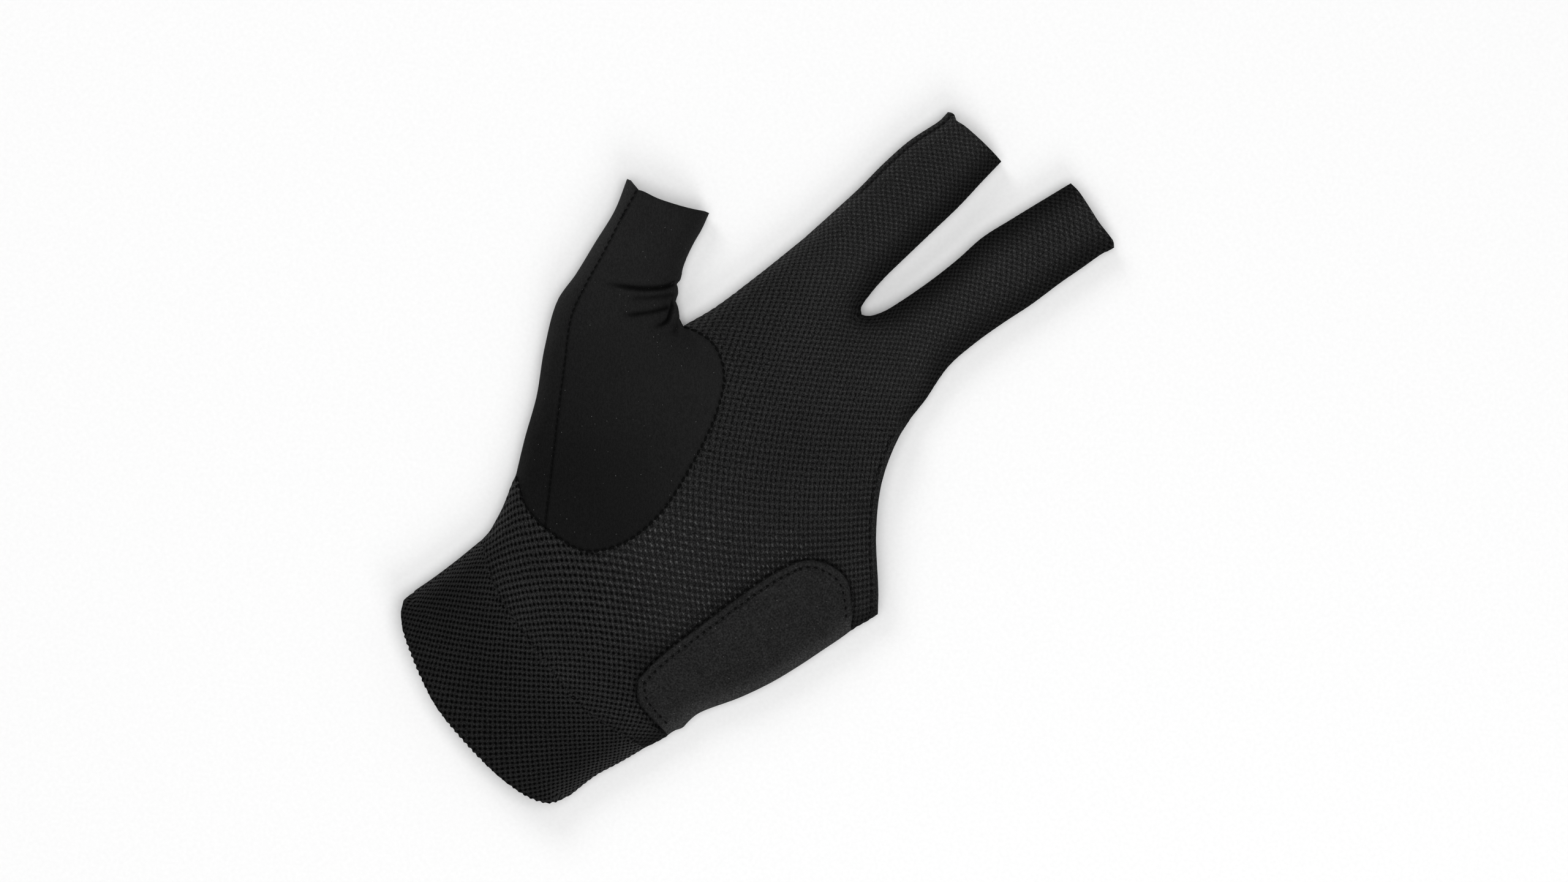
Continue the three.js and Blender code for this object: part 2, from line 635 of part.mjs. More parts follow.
// The closure tab wraps the outer edge of the wrist: a long leg on the front and a short one underneath.
function closureTab() {
  const rows = 22;
  const start = handOuterStation(TAB_TOP);
  const end = handOuterStation(TAB_BOTTOM);
  const fold = Array.from({ length: rows + 1 }, (_, i) => handOuter.getPointAt(mix(start, end, i / rows)));
  const inner = curve(pair(TAB_INNER_TOP), TAB_INNER, pair(TAB_INNER_BOTTOM));
  const foldEnd = { x: fold[rows].x, y: fold[rows].y };
  const foldStart = { x: fold[0].x, y: fold[0].y };
  const dome = spaced(curve(pair(TAB_INNER_TOP), [...TAB_DOME].reverse(), [foldStart]), PLAN_COLUMNS);
  const foot = spaced(curve(pair(TAB_INNER_BOTTOM), TAB_FOOT, [foldEnd]), PLAN_COLUMNS);
  const front = planGrid(spaced(inner, rows), fold, dome, foot);
  const reach = (p, width, shift) => vector(p.x - width, p.y + shift);
  const under = fold.map((p, i) => {
    const v = i / rows;
    return reach(p, TAB_UNDER_WIDTH, -3 * (1 - smooth(v, 0, 0.3)) + 3 * smooth(v, 0.7, 1));
  });
  const bow = (a, b, lift) => {
    const crown = { x: mix(a.x, b.x, 0.6), y: mix(a.y, b.y, 0.6) + lift };
    return spaced(curve([a, crown, b]), PLAN_COLUMNS);
  };
  const back = planGrid(under, fold, bow(under[0], fold[0], 1.2), bow(under[rows], fold[rows], -1.2));
  const wall = (point) => mix(TAB_UNDER_WALL, TAB_WALL, smooth(point.z, FOLD_HEIGHT - 2, FOLD_HEIGHT + 2));
  const crowdedLast = (count) => crowdedFirst(count).map((f) => 1 - f).reverse();
  return wallGeometry([
    ...shellQuads(front, () => crowdedLast(8), TAB_FRONT),
    ...shellQuads(back, () => crowdedLast(5), TAB_BACK),
  ], wall);
}

// The share of the outer hand edge's length at which it reaches a given y.
function handOuterStation(y) {
  let low = 0;
  let high = 1;
  for (let i = 0; i < 40; i += 1) {
    const middle = (low + high) / 2;
    if (handOuter.getPointAt(middle).y > y) low = middle;
    else high = middle;
  }
  return low;
}

// Hook patch hidden under the tab, which holds it closed on the mesh. It follows the mesh at a small distance.
function hookPatch() {
  const rows = 12;
  const columns = 4;
  const lines = Array.from({ length: rows + 1 }, (_, i) => {
    const y = mix(HOOK.top, HOOK.bottom, i / rows);
    const right = handOuter.getPointAt(handOuterStation(y)).x - HOOK.fromFold;
    return straight(vector(HOOK.left, y), vector(right, y), columns).map((p) => {
      const { point, direction } = shellPoint(p.x, p.y, FRONT);
      return { point: point.addScaledVector(direction, GAP + HOOK_WALL), direction };
    });
  });
  return wallGeometry(quadsOf(lines), () => HOOK_WALL);
}

const CLOTH = {
  mesh: { color: 0x29292c, roughness: 0.95 },
  smooth: { color: 0x222224, roughness: 0.88 },
  felt: { color: 0x2a2a2c, roughness: 0.98 },
  hook: { color: 0x161617, roughness: 0.8 },
};

function piece(name, geometry, cloth) {
  const mesh = new THREE.Mesh(geometry, new THREE.MeshStandardMaterial({ ...cloth, metalness: 0 }));
  mesh.name = name;
  return mesh;
}

const glove = new THREE.Group();
glove.add(
  piece('palm_panel', palmPanel(), CLOTH.mesh),
  piece('back_panel', backPanel(), CLOTH.mesh),
  piece('thumb_panel', thumbPanel(), CLOTH.smooth),
  piece('thumb_back_panel', thumbBackPanel(), CLOTH.smooth),
  piece('cuff_band', cuffBand(), CLOTH.mesh),
  piece('closure_tab', closureTab(), CLOTH.felt),
  piece('hook_patch', hookPatch(), CLOTH.hook),
);

export default glove;
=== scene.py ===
"""Three-finger billiard glove for the left hand, lying palm up: its cloth, seams, stage and camera.

Sizes are worked out in millimetres in the CAD frame (+Y from cuff to fingertips, +X towards the
little-finger side, +Z up from the surface it lies on) and put into the meshes in metres."""
import math
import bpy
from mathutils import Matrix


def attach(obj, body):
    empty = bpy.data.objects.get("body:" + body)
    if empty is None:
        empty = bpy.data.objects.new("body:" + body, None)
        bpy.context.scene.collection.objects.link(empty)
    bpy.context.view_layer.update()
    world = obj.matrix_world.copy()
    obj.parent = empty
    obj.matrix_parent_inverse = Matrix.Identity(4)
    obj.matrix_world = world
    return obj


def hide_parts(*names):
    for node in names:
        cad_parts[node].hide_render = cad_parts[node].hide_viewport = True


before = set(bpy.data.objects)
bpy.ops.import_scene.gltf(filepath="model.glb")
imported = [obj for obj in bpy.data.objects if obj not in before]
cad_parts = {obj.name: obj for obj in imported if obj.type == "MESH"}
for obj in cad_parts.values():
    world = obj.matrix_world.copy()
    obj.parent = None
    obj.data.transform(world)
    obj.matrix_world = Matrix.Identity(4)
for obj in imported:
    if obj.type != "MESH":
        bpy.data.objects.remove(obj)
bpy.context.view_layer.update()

from types import SimpleNamespace

import bpy
import numpy as np
from bpy.props import FloatProperty, FloatVectorProperty, IntProperty, PointerProperty, StringProperty

bl_info = {
    "name": "Billiard glove",
    "version": (1, 0, 0),
    "blender": (4, 5, 0),
    "location": "3D View > Sidebar > Glove",
    "description": "Builds a three-finger billiard glove of mesh and smooth stretch cloth",
    "category": "Add Mesh",
}

MM = 0.001

# Outline of the glove, in millimetres, as in the CAD source

# y, then the sides of the index and the middle finger there
FINGERS = np.array([
    (98, -31.4, -10.2, 3.6, 26.6),
    (88, -32.0, -8.4, 2.8, 26.6),
    (78, -31.2, -7.2, 3.6, 26.0),
    (68, -29.7, -6.0, 3.8, 25.8),
    (58, -28.7, -4.7, 3.4, 26.6),
])
TIPS = {
    "index_outer": (-32.0, 101.6), "index_inner": (-11.4, 105.4),
    "middle_inner": (5.5, 117.6), "middle_outer": (27.8, 116.5),
}
# The seams end in small nubs at the outer corners of the tips
INDEX_NUB, MIDDLE_NUB = [(-31.6, 99.8)], [(27.5, 114.6), (27.1, 112.8), (26.9, 106)]
INDEX_TIP = [(-31.1, 102.2), (-29.1, 101.9), (-25.9, 102.9), (-22.8, 103.6), (-18.6, 104.4), (-13.2, 105.2)]
MIDDLE_TIP = [(8.4, 117.9), (15.3, 117.5), (19.4, 117.2), (26.3, 117.2)]
KNUCKLE_OUTER, KNUCKLE_INNER = (-27.7, 47), (30.3, 47)
FINGER_CROTCH = (-0.3, 47)
CROTCH_INDEX_SIDE = [(-3.5, 52.5), (-1.9, 48)]
CROTCH_MIDDLE_SIDE = [(2.8, 52.5), (1.2, 48.2)]
# Thumb stations: outer fold x, y and the seam on the front x, y
THUMB = np.array([
    (-71.8, 16.4, -67.4, 16.9),
    (-66.7, 8.2, -63.6, 8.5),
    (-62.7, -1.8, -58.5, -2.0),
    (-58.7, -11.8, -54.0, -12.0),
    (-55.8, -20.5, -49.5, -20.0),
    (-47.0, -31.8, -40.0, -29.5),
    (-37.4, -41.8, -31.0, -38.3),
    (-29.7, -51.8, -20.5, -48.2),
])
THUMB_OUTER_END, THUMB_SEAM_END = (-22.9, -60.0), (-5.5, -62.3)
THUMB_TIP = [(-66, 17.9), (-62.1, 19.9), (-58.1, 22.6), (-53.3, 26.3)]
THUMB_TIP_INNER, THUMB_CROTCH = (-49.8, 29.4), (-28.3, 3.9)
THUMB_INNER = [
    (-47.4, 25), (-45.5, 20.6), (-43.3, 16.4), (-41.5, 13.7), (-40, 12.1), (-39.3, 11), (-39.1, 9.8),
    (-38.1, 9.4), (-36.6, 8.4), (-35.8, 7.2), (-35.2, 6.5), (-33.9, 6.2), (-32, 5.3), (-30.2, 4.2),
]
PATCH_SEAM = [
    (-24.1, 6.4), (-19.4, 7.8), (-14, 7.0), (-8.6, 4.0), (-2, -4), (5, -17.5), (11, -34), (11.3, -47),
    (6.5, -57),
]
PATCH_SEAM_FOOT = [(-14, -62.9)]
BACK_SEAM = [(-23, -12), (-18, -30), (-16.5, -45), (-18.8, -55)]
OPENING_TOP, OPENING_CORNER = (32, 40.5), (71.4, -0.8)
OPENING = [(34.5, 34), (41.5, 23), (52, 13), (65, 4)]
HAND_OUTER = [
    (71.1, -4.4), (70.6, -8.2), (70.5, -14), (70.2, -19.5), (69.8, -27), (68.8, -37), (66.8, -47),
    (63.8, -57), (63.3, -60), (63.5, -62.8), (63.9, -65.2), (63.2, -67.6), (63, -71.5),
]
HAND_UPPER_INNER = [(-27.1, 30), (-27.1, 14)]
HAND_INNER = [(-21.4, -62.6), (-19.2, -66.1), (-17.4, -69.2), (-15.7, -72.8), (-14.4, -75.9)]
CUFF_SEAM_INNER, CUFF_SEAM_OUTER = (-13.8, -79), (62.0, -77.5)
CUFF_SEAM = [(0, -84), (20, -85), (40, -84.5)]
CUFF_INNER, CUFF_OUTER = [(-13.4, -89.5), (-13.4, -97)], [(61, -86), (59.9, -93.4)]
MOUTH_INNER, MOUTH_OUTER = (-13.7, -104.0), (60.1, -104.0)
MOUTH = [
    (-13.3, -106.2), (-11.1, -109.2), (-6.3, -112.3), (0.9, -114.7), (8.5, -116.5), (14.6, -117.5),
    (22.4, -117.8), (34.7, -116.8), (45, -114.9), (53.5, -112.0), (58.2, -108.4),
]
TAB_DOME = [(48, -6), (57, -2.2), (67, -6.5)]
TAB_INNER_TOP, TAB_INNER_BOTTOM = (45.3, -10.5), (45.2, -67)
TAB_INNER = [(43.9, -20), (43.5, -45), (43.9, -60)]
TAB_FOOT = [(50, -70)]

# Heights and walls, in millimetres

FOLD_HEIGHT, GAP = 4.2, 0.3
UNDER_ROUND, UNDER_ROUND_AT_TAB, CUFF_UNDER_ROUND = 5.5, 3.2, 7.0
TAB_STAND, TAB_LIFT, TAB_UNDER_WIDTH = 2.3, 1.3, 14.0
TAB_TOP, TAB_BOTTOM, TAB_PRESS = -9.8, -69.8, 2.2
TAB_WALL, TAB_UNDER_WALL = 1.8, 1.5
MESH_WALL, SMOOTH_WALL, CUFF_WALL = 1.2, 1.2, 2.0
HEM_EXTRA, HEM_WIDTH = 0.4, 1.9
THUMB_RISE, THUMB_ROUND = 6.2, 9.0
OPENING_SINK, OPENING_SINK_REACH = 0.62, 26.0
TIGHTEST_TURN = 1.7
EDGE_ROUND, CUFF_EDGE_ROUND, TAB_EDGE_ROUND = 0.5, 1.0, 0.6
RIPPLE_DEPTH, RIPPLE_LENGTH = 0.22, 1.93
# The sewn relief fades to nothing over this distance from a side fold
FOLD_FADE = 1.2
# Pieces on both sides of a seam stand off its line by this much on the front, and by more on the back
SEAM_GAP, BACK_SEAM_GAP = 0.03, 0.08
# A side fold of the mesh west of this x is the hand's inner one or the index finger's outer one
INNER_SIDE = -13.4
# y, height of the front above the side folds, and how far in from a fold it becomes level
SECTIONS = np.array([
    (-118, 6.4, 13), (-80, 7.4, 16), (-40, 8, 18), (15, 7.6, 16),
    (40, 6.6, 13), (60, 5.4, 11), (100, 5, 10.5), (118, 4.3, 9.5),
])
# Ridges, and creases below zero, along a straight line: x0, y0, x1, y1, width, height
FOLDS = np.array([
    (-41.5, 8.5, -50, -1, 2.2, 0.6),
    (-37.4, 6.0, -42, -0.5, 1.4, 0.7),
    (-35.2, 3.2, -38.5, -3.5, 1.3, 0.7),
    (-31.5, 1.0, -31, -5, 1.6, 0.4),
    (-4, 34, -10, 8, 9, 0.6),
    (14, 30, 30, 4, 10, 0.6),
    (20, -20, 26, -70, 9, 0.7),
    (38, -4, 36, -64, 4, 0.6),
    (2, -92, 40, -95, 8, 0.5),
])

# Creases of the thumb's cloth from its inner fold: points, width and depth; each fades towards its last point
CREASES = [
    ([(-39.3, 9.8), (-40.1, 6.9), (-41.5, 4.3), (-44, 0.8), (-45.8, -1.3), (-49, -4.4), (-54, -9)],
     0.75, 0.8),
    ([(-37.0, 7.0), (-39.4, 2.6), (-41.7, -0.9), (-43.3, -3.2), (-46, -6.4)], 1.0, 0.45),
    ([(-35.5, 6.6), (-35.1, 5.8), (-33.9, 4.4), (-32.8, 3), (-32.1, 1.6), (-32.3, -0.6), (-33.8, -4.6)],
     0.75, 0.8),
    ([(-35.0, 3.8), (-36.2, 0.4), (-38.2, -3.5), (-39.9, -6.2), (-43, -10.5)], 0.95, 0.65),
    ([(-29.6, 3.6), (-28.6, 2), (-27.4, -0.6)], 1.0, 0.4),
]


def smooth(value, low, high):
    """Zero below low, one above high, and three squares less two cubes of the share between."""
    t = np.clip((value - low) / (high - low), 0, 1)
    return t * t * (3 - 2 * t)


def mix(a, b, share):
    return a + (b - a) * share


def band(y, low, high, fade):
    """One between low and high, fading to nothing over a distance outside them."""
    return smooth(y, low - fade, low) * (1 - smooth(y, high, high + fade))


def bell(distance, width):
    """One at no distance, and next to nothing two widths away."""
    return np.exp(-((distance / width) ** 2))


# Curves

def spline(*parts, fine=40):
    """Close points on a smooth curve. Between two given points it is the cubic whose end slopes are those
    of a Catmull-Rom spline with knots spaced by the square root of the chord."""
    p = np.array([q for part in parts for q in ([part] if np.ndim(part) == 1 else part)], float)
    p = np.vstack([2 * p[0] - p[1], p, 2 * p[-1] - p[-2]])
    knot = np.sqrt(np.linalg.norm(np.diff(p, axis=0), axis=1))[:, None]
    a, b, c = knot[:-2], knot[1:-1], knot[2:]
    p0, p1, p2, p3 = p[:-3], p[1:-2], p[2:-1], p[3:]
    m1 = ((p1 - p0) / a - (p2 - p0) / (a + b) + (p2 - p1) / b) * b
    m2 = ((p2 - p1) / b - (p3 - p1) / (b + c) + (p3 - p2) / c) * b
    t = (np.arange(fine) / fine)[:, None, None]
    line = p1 + m1 * t + (3 * (p2 - p1) - 2 * m1 - m2) * t**2 + (2 * (p1 - p2) + m1 + m2) * t**3
    return np.vstack([line.transpose(1, 0, 2).reshape(-1, 2), p2[-1:]])


def arc(line):
    """Length of the line up to each of its points."""
    return np.concatenate([[0], np.cumsum(np.linalg.norm(np.diff(line, axis=0), axis=1))])


def along(line, share):
    """Points at shares of a line's length."""
    length = arc(line)
    at = np.asarray(share) * length[-1]
    return np.stack([np.interp(at, length, line[:, 0]), np.interp(at, length, line[:, 1])], -1)


def spaced(line, steps):
    return along(line, np.linspace(0, 1, steps + 1))


def moved_aside(line, inset):
    """The line moved to its left by inset, in its own direction of travel."""
    d = np.gradient(line, axis=0)
    d /= np.linalg.norm(d, axis=1)[:, None]
    return line + inset * np.stack([-d[:, 1], d[:, 0]], -1)


INDEX_OUTER = spline(TIPS["index_outer"], INDEX_NUB, FINGERS[:, [1, 0]], KNUCKLE_OUTER)
INDEX_INNER = spline(TIPS["index_inner"], FINGERS[:, [2, 0]], CROTCH_INDEX_SIDE, FINGER_CROTCH)
MIDDLE_INNER = spline(TIPS["middle_inner"], FINGERS[:, [3, 0]], CROTCH_MIDDLE_SIDE, FINGER_CROTCH)
MIDDLE_OUTER = spline(TIPS["middle_outer"], MIDDLE_NUB, FINGERS[:, [4, 0]], KNUCKLE_INNER)
INDEX_TIP_LINE = spline(TIPS["index_outer"], INDEX_TIP, TIPS["index_inner"])
MIDDLE_TIP_LINE = spline(TIPS["middle_inner"], MIDDLE_TIP, TIPS["middle_outer"])
HAND_UPPER_INNER_LINE = spline(KNUCKLE_OUTER, HAND_UPPER_INNER, THUMB_CROTCH)
HAND_UPPER_OUTER_LINE = spline(KNUCKLE_INNER, OPENING_TOP)
OPENING_LINE = spline(OPENING_TOP, OPENING, OPENING_CORNER)
HAND_OUTER_LINE = spline(OPENING_CORNER, HAND_OUTER, CUFF_SEAM_OUTER)
HAND_INNER_LINE = spline(THUMB_OUTER_END, HAND_INNER, CUFF_SEAM_INNER)
CUFF_SEAM_LINE = spline(CUFF_SEAM_INNER, CUFF_SEAM, CUFF_SEAM_OUTER)
CUFF_INNER_LINE = spline(CUFF_SEAM_INNER, CUFF_INNER, MOUTH_INNER)
CUFF_OUTER_LINE = spline(CUFF_SEAM_OUTER, CUFF_OUTER, MOUTH_OUTER)
MOUTH_LINE = spline(MOUTH_INNER, MOUTH, MOUTH_OUTER)
THUMB_OUTER_LINE = spline(THUMB[:, :2], THUMB_OUTER_END)
THUMB_SEAM_LINE = spline(THUMB[:, 2:], THUMB_SEAM_END)
THUMB_INNER_LINE = spline(THUMB_TIP_INNER, THUMB_INNER, THUMB_CROTCH)
THUMB_TIP_LINE = spline(THUMB[0, 2:], THUMB_TIP, THUMB_TIP_INNER)
BARTACK = along(THUMB_SEAM_LINE, np.linspace(0.06, 0.1, 20))
PATCH_SEAM_LINE = spline(THUMB_CROTCH, PATCH_SEAM, THUMB_SEAM_END)
PATCH_FOOT_LINE = spline(THUMB_SEAM_END, PATCH_SEAM_FOOT, THUMB_OUTER_END)
BACK_SEAM_LINE = spline(THUMB_CROTCH, BACK_SEAM, THUMB_OUTER_END)

# The outer hand edge between the tab's top and bottom
OUTER_SHARE = arc(HAND_OUTER_LINE) / arc(HAND_OUTER_LINE)[-1]
TAB_SHARES = np.interp([-TAB_TOP, -TAB_BOTTOM], -HAND_OUTER_LINE[:, 1], OUTER_SHARE)
TAB_FOLD = along(HAND_OUTER_LINE, np.linspace(*TAB_SHARES, 1000))
TAB_INNER_LINE = spline(TAB_INNER_TOP, TAB_INNER, TAB_INNER_BOTTOM)
TAB_DOME_LINE = spline(TAB_INNER_TOP, TAB_DOME, TAB_FOLD[0])
TAB_FOOT_LINE = spline(TAB_INNER_BOTTOM, TAB_FOOT, TAB_FOLD[-1])
TAB_OUTLINE = np.vstack([TAB_DOME_LINE[::-1], TAB_INNER_LINE[1:], TAB_FOOT_LINE[1:]])


def tab_inset(y):
    """How far the mesh edge is drawn in where the tab wraps round it."""
    return TAB_STAND * band(y, TAB_BOTTOM + 1.7, TAB_TOP - 1.7, 1.6)


HAND_OUTER_DRAWN = spaced(HAND_OUTER_LINE, 200)
HAND_OUTER_DRAWN[:, 0] -= tab_inset(HAND_OUTER_DRAWN[:, 1])


def fold_set(runs, step=0.35):
    """The side folds as short stretches with their outward direction: to the right of the travel on a west
    side, to the left on an east side."""
    starts, ends, outs = [], [], []
    for line, west in runs:
        p = spaced(line, math.ceil(arc(line)[-1] / step))
        d = np.diff(p, axis=0)
        d /= np.linalg.norm(d, axis=1)[:, None]
        turn = 1 if west else -1
        starts.append(p[:-1])
        ends.append(p[1:])
        outs.append(turn * np.stack([d[:, 1], -d[:, 0]], -1))
    return SimpleNamespace(a=np.vstack(starts), b=np.vstack(ends), out=np.vstack(outs))


SHARED_FOLDS = [
    (INDEX_OUTER, True), (INDEX_INNER, False), (MIDDLE_INNER, True), (MIDDLE_OUTER, False),
    (HAND_UPPER_INNER_LINE, True), (HAND_UPPER_OUTER_LINE, False), (HAND_INNER_LINE, True),
    (CUFF_INNER_LINE, True), (CUFF_OUTER_LINE, False), (THUMB_OUTER_LINE, True), (THUMB_INNER_LINE, False),
]
OUTER_FOLDS = fold_set(SHARED_FOLDS + [(HAND_OUTER_LINE, False)])
MESH_FOLDS = fold_set(SHARED_FOLDS + [(HAND_OUTER_DRAWN, False)])


def nearest(a, b, points):
    """Distance to the nearest stretch a-b, the place on it and its number. The nearest stretch is found by
    the stretches' middles, and it and its two neighbours are then measured exactly."""
    flat = np.asarray(points, float).reshape(-1, 2)
    middle = ((a + b) / 2).astype(np.float32)
    square = (middle**2).sum(1)
    best = np.empty(len(flat), int)
    for i in range(0, len(flat), 8192):
        best[i:i + 8192] = np.argmin(square - 2 * flat[i:i + 8192].astype(np.float32) @ middle.T, axis=1)
    trial = np.clip(best[:, None] + np.array([-1, 0, 1]), 0, len(a) - 1)
    start, run = a[trial], b[trial] - a[trial]
    t = np.clip(((flat[:, None] - start) * run).sum(-1) / (run * run).sum(-1), 0, 1)
    foot = start + run * t[..., None]
    distance = np.linalg.norm(flat[:, None] - foot, axis=-1)
    pick = distance.argmin(1)
    row = np.arange(len(flat))
    shape = np.shape(points)[:-1]
    near, place, number = distance[row, pick], foot[row, pick], trial[row, pick]
    return near.reshape(shape), place.reshape(*shape, 2), number.reshape(shape)


def distance_to(line, points):
    return nearest(line[:-1], line[1:], points)[0]


# The shell: heights over the plan

def section(y, column):
    return np.interp(y, SECTIONS[:, 0], SECTIONS[:, column])


def thumb_share(p):
    return smooth(-p[..., 0], 26, 44) * (1 - smooth(p[..., 1], 34, 44))


def fold_height(p, folds=FOLDS):
    """Each fold is a bell across its line, fading past its ends."""
    x, y = p[..., 0, None], p[..., 1, None]
    x0, y0, x1, y1, width, height = folds.T
    length = np.hypot(x1 - x0, y1 - y0)
    onward = ((x - x0) * (x1 - x0) + (y - y0) * (y1 - y0)) / length
    across = ((x - x0) * (y1 - y0) - (y - y0) * (x1 - x0)) / length
    past = np.maximum(0, np.maximum(-onward, onward - length))
    return (height * np.exp(-((across / width) ** 2) - (past / width) ** 2)).sum(-1)


OPENING_COARSE = spaced(OPENING_LINE, 80)
OUTER_COARSE = np.vstack([spaced(HAND_OUTER_LINE, 90), spaced(CUFF_OUTER_LINE, 20)[1:]])


def under_press(p):
    return smooth(p[..., 0], 37, 43) * band(p[..., 1], TAB_BOTTOM + 2, TAB_TOP + 4, 9)


def front_rise(p):
    rise = mix(section(p[..., 1], 1), THUMB_RISE, thumb_share(p))
    sink = mix(OPENING_SINK, 1, smooth(distance_to(OPENING_COARSE, p), 0, OPENING_SINK_REACH))
    return rise * sink + fold_height(p) - TAB_PRESS * under_press(p)


def front_round(p):
    wide = mix(section(p[..., 1], 2), THUMB_ROUND, thumb_share(p))
    return np.minimum(wide, front_rise(p) ** 2 / TIGHTEST_TURN)


def under_tab(p):
    near = 1 - smooth(distance_to(OUTER_COARSE, p), 17, 24)
    return near * smooth(p[..., 0], 26, 34) * band(p[..., 1], TAB_BOTTOM - 4, TAB_TOP + 5, 6)


def tab_lift(p):
    return TAB_LIFT * smooth(distance_to(OUTER_COARSE, p), 5, 11)


FRONT = SimpleNamespace(folds=MESH_FOLDS, up=1, rise=lambda p: front_rise(p) + GAP, round=front_round)
CUFF_FRONT = SimpleNamespace(folds=OUTER_FOLDS, up=1, rise=lambda p: front_rise(p) + GAP, round=front_round)
BACK = SimpleNamespace(
    folds=MESH_FOLDS, up=-1,
    rise=lambda p: FOLD_HEIGHT - (TAB_UNDER_WALL + GAP) * under_tab(p),
    round=lambda p: mix(UNDER_ROUND, UNDER_ROUND_AT_TAB, under_tab(p)))
CUFF_BACK = SimpleNamespace(
    folds=OUTER_FOLDS, up=-1, rise=BACK.rise, round=lambda p: np.full(p.shape[:-1], CUFF_UNDER_ROUND))
TAB_FRONT = SimpleNamespace(
    folds=OUTER_FOLDS, up=1,
    rise=lambda p: front_rise(p) + GAP + TAB_STAND + tab_lift(p), round=lambda p: front_round(p) + TAB_STAND)
TAB_BACK = SimpleNamespace(
    folds=OUTER_FOLDS, up=-1,
    rise=lambda p: np.full(p.shape[:-1], FOLD_HEIGHT),
    round=lambda p: np.full(p.shape[:-1], UNDER_ROUND_AT_TAB + TAB_STAND))


def shell(plan, side):
    """A point of the cloth's outside over each plan point: the fold height plus or minus the rise times the
    quarter round of the distance to the side folds. The normal is that surface's own, worked out from the
    slope of the rise. Also gives the plan with the cloth's own length laid out past the round, for
    patterns."""
    near, foot, number = nearest(side.folds.a, side.folds.b, plan)
    on_fold = near < 0.01
    p = np.where(on_fold[..., None], foot, plan)
    outward = (foot - plan) / np.maximum(near, 1e-9)[..., None]
    out = np.where(on_fold[..., None], side.folds.out[number], outward)
    near = np.where(on_fold, 0, near)
    wide, rise = side.round(p), side.rise(p)
    s = 1 - np.minimum(near / wide, 1)
    w = np.sqrt(1 - s * s)
    step = 0.2
    shift = np.array([[step, 0], [0, step]])
    slope = np.stack([(side.rise(p + d) - side.rise(p - d)) / (2 * step) for d in shift], -1)
    lean = out * (rise * s / wide)[..., None] - (w * w)[..., None] * slope
    normal = np.concatenate([lean, (side.up * w)[..., None]], -1)
    normal /= np.linalg.norm(normal, axis=-1)[..., None]
    point = np.concatenate([p, (FOLD_HEIGHT + side.up * rise * w)[..., None]], -1)
    # A quarter of an ellipse, and how much longer it is than its own width in plan
    h = ((wide - rise) / (wide + rise)) ** 2
    spare = np.pi / 4 * (wide + rise) * (1 + h / 4) - wide
    return SimpleNamespace(
        plan=p, point=point, normal=normal, near=near, foot=foot,
        laid=p + out * (spare * s**4)[..., None])


# Plan grids

def relaxed(grid, rounds=1500):
    """The grid with its inner points moved, round after round, towards the solution of the elliptic grid
    equations, so that its lines are even and never cross."""
    g = grid.copy()
    for _ in range(rounds):
        up, down, west, east = g[:-2, 1:-1], g[2:, 1:-1], g[1:-1, :-2], g[1:-1, 2:]
        row, col = (down - up) / 2, (east - west) / 2
        alpha = (col * col).sum(-1, keepdims=True) + 1e-9
        gamma = (row * row).sum(-1, keepdims=True) + 1e-9
        beta = (row * col).sum(-1, keepdims=True)
        cross = g[2:, 2:] - g[2:, :-2] - g[:-2, 2:] + g[:-2, :-2]
        new = (alpha * (up + down) + gamma * (west + east) - beta / 2 * cross) / (2 * (alpha + gamma))
        g[1:-1, 1:-1] = mix(g[1:-1, 1:-1], new, 0.9)
    return g


def blended(left, right, top, bottom, u, v):
    """The plan point at u across and v down between four sides, as the sum of the two straight blends less
    the blend of the corners."""
    first, last = mix(left[:1], right[:1], u[..., None]), mix(left[-1:], right[-1:], u[..., None])
    corners = mix(first, last, v[..., None])
    return mix(left, right, u[..., None]) + mix(top, bottom, v[..., None]) - corners


def side_points(runs, fine):
    """Points down one side. Each run gives its line, its number of coarse steps and how far it is moved
    aside. The two corners where the thumb's seams reach the folds are met exactly."""
    points = []
    for line, steps, inset in runs:
        p = spaced(moved_aside(line, inset) if inset else line, steps * fine)
        points.append(p[1:] if points and not inset else p)
        if inset and len(points) > 1:
            points[-2] = points[-2][:-1]
    points = np.vstack(points)
    for corner in (THUMB_CROTCH, THUMB_OUTER_END):
        points[np.linalg.norm(points - corner, axis=1) < 0.15] = corner
    return points


def plan_grid(left, right, top, bottom, fine, shares):
    """A fine plan grid. left and right are points down the sides, top and bottom are lines, and shares gives
    for each fine row how far across each of its points lies. A coarse grid between the same sides is relaxed,
    and what it moved is spread smoothly over the fine one."""
    rows, columns = (len(left) - 1) // fine, 24
    v, u = np.linspace(0, 1, rows + 1), np.linspace(0, 1, columns + 1)
    uu, vv = np.meshgrid(u, v)
    start = blended(left[::fine][:, None], right[::fine][:, None], along(top, u), along(bottom, u), uu, vv)
    change = relaxed(start) - start
    fine_v = np.linspace(0, 1, len(left))
    vv = np.repeat(fine_v[:, None], shares.shape[1], 1)
    base = blended(left[:, None], right[:, None], along(top, shares), along(bottom, shares), shares, vv)
    place = fine_v * rows
    i = np.minimum(place.astype(int), rows - 1)
    t = (place - i)[:, None]
    across = shares * columns
    j = np.minimum(across.astype(int), columns - 1)
    r = across - j
    for k in range(2):
        d = change[..., k]
        upper = mix(d[i[:, None], j], d[i[:, None], j + 1], r)
        lower = mix(d[i[:, None] + 1, j], d[i[:, None] + 1, j + 1], r)
        base[..., k] += mix(upper, lower, t)
    base[:, 0], base[:, -1] = left, right
    return base


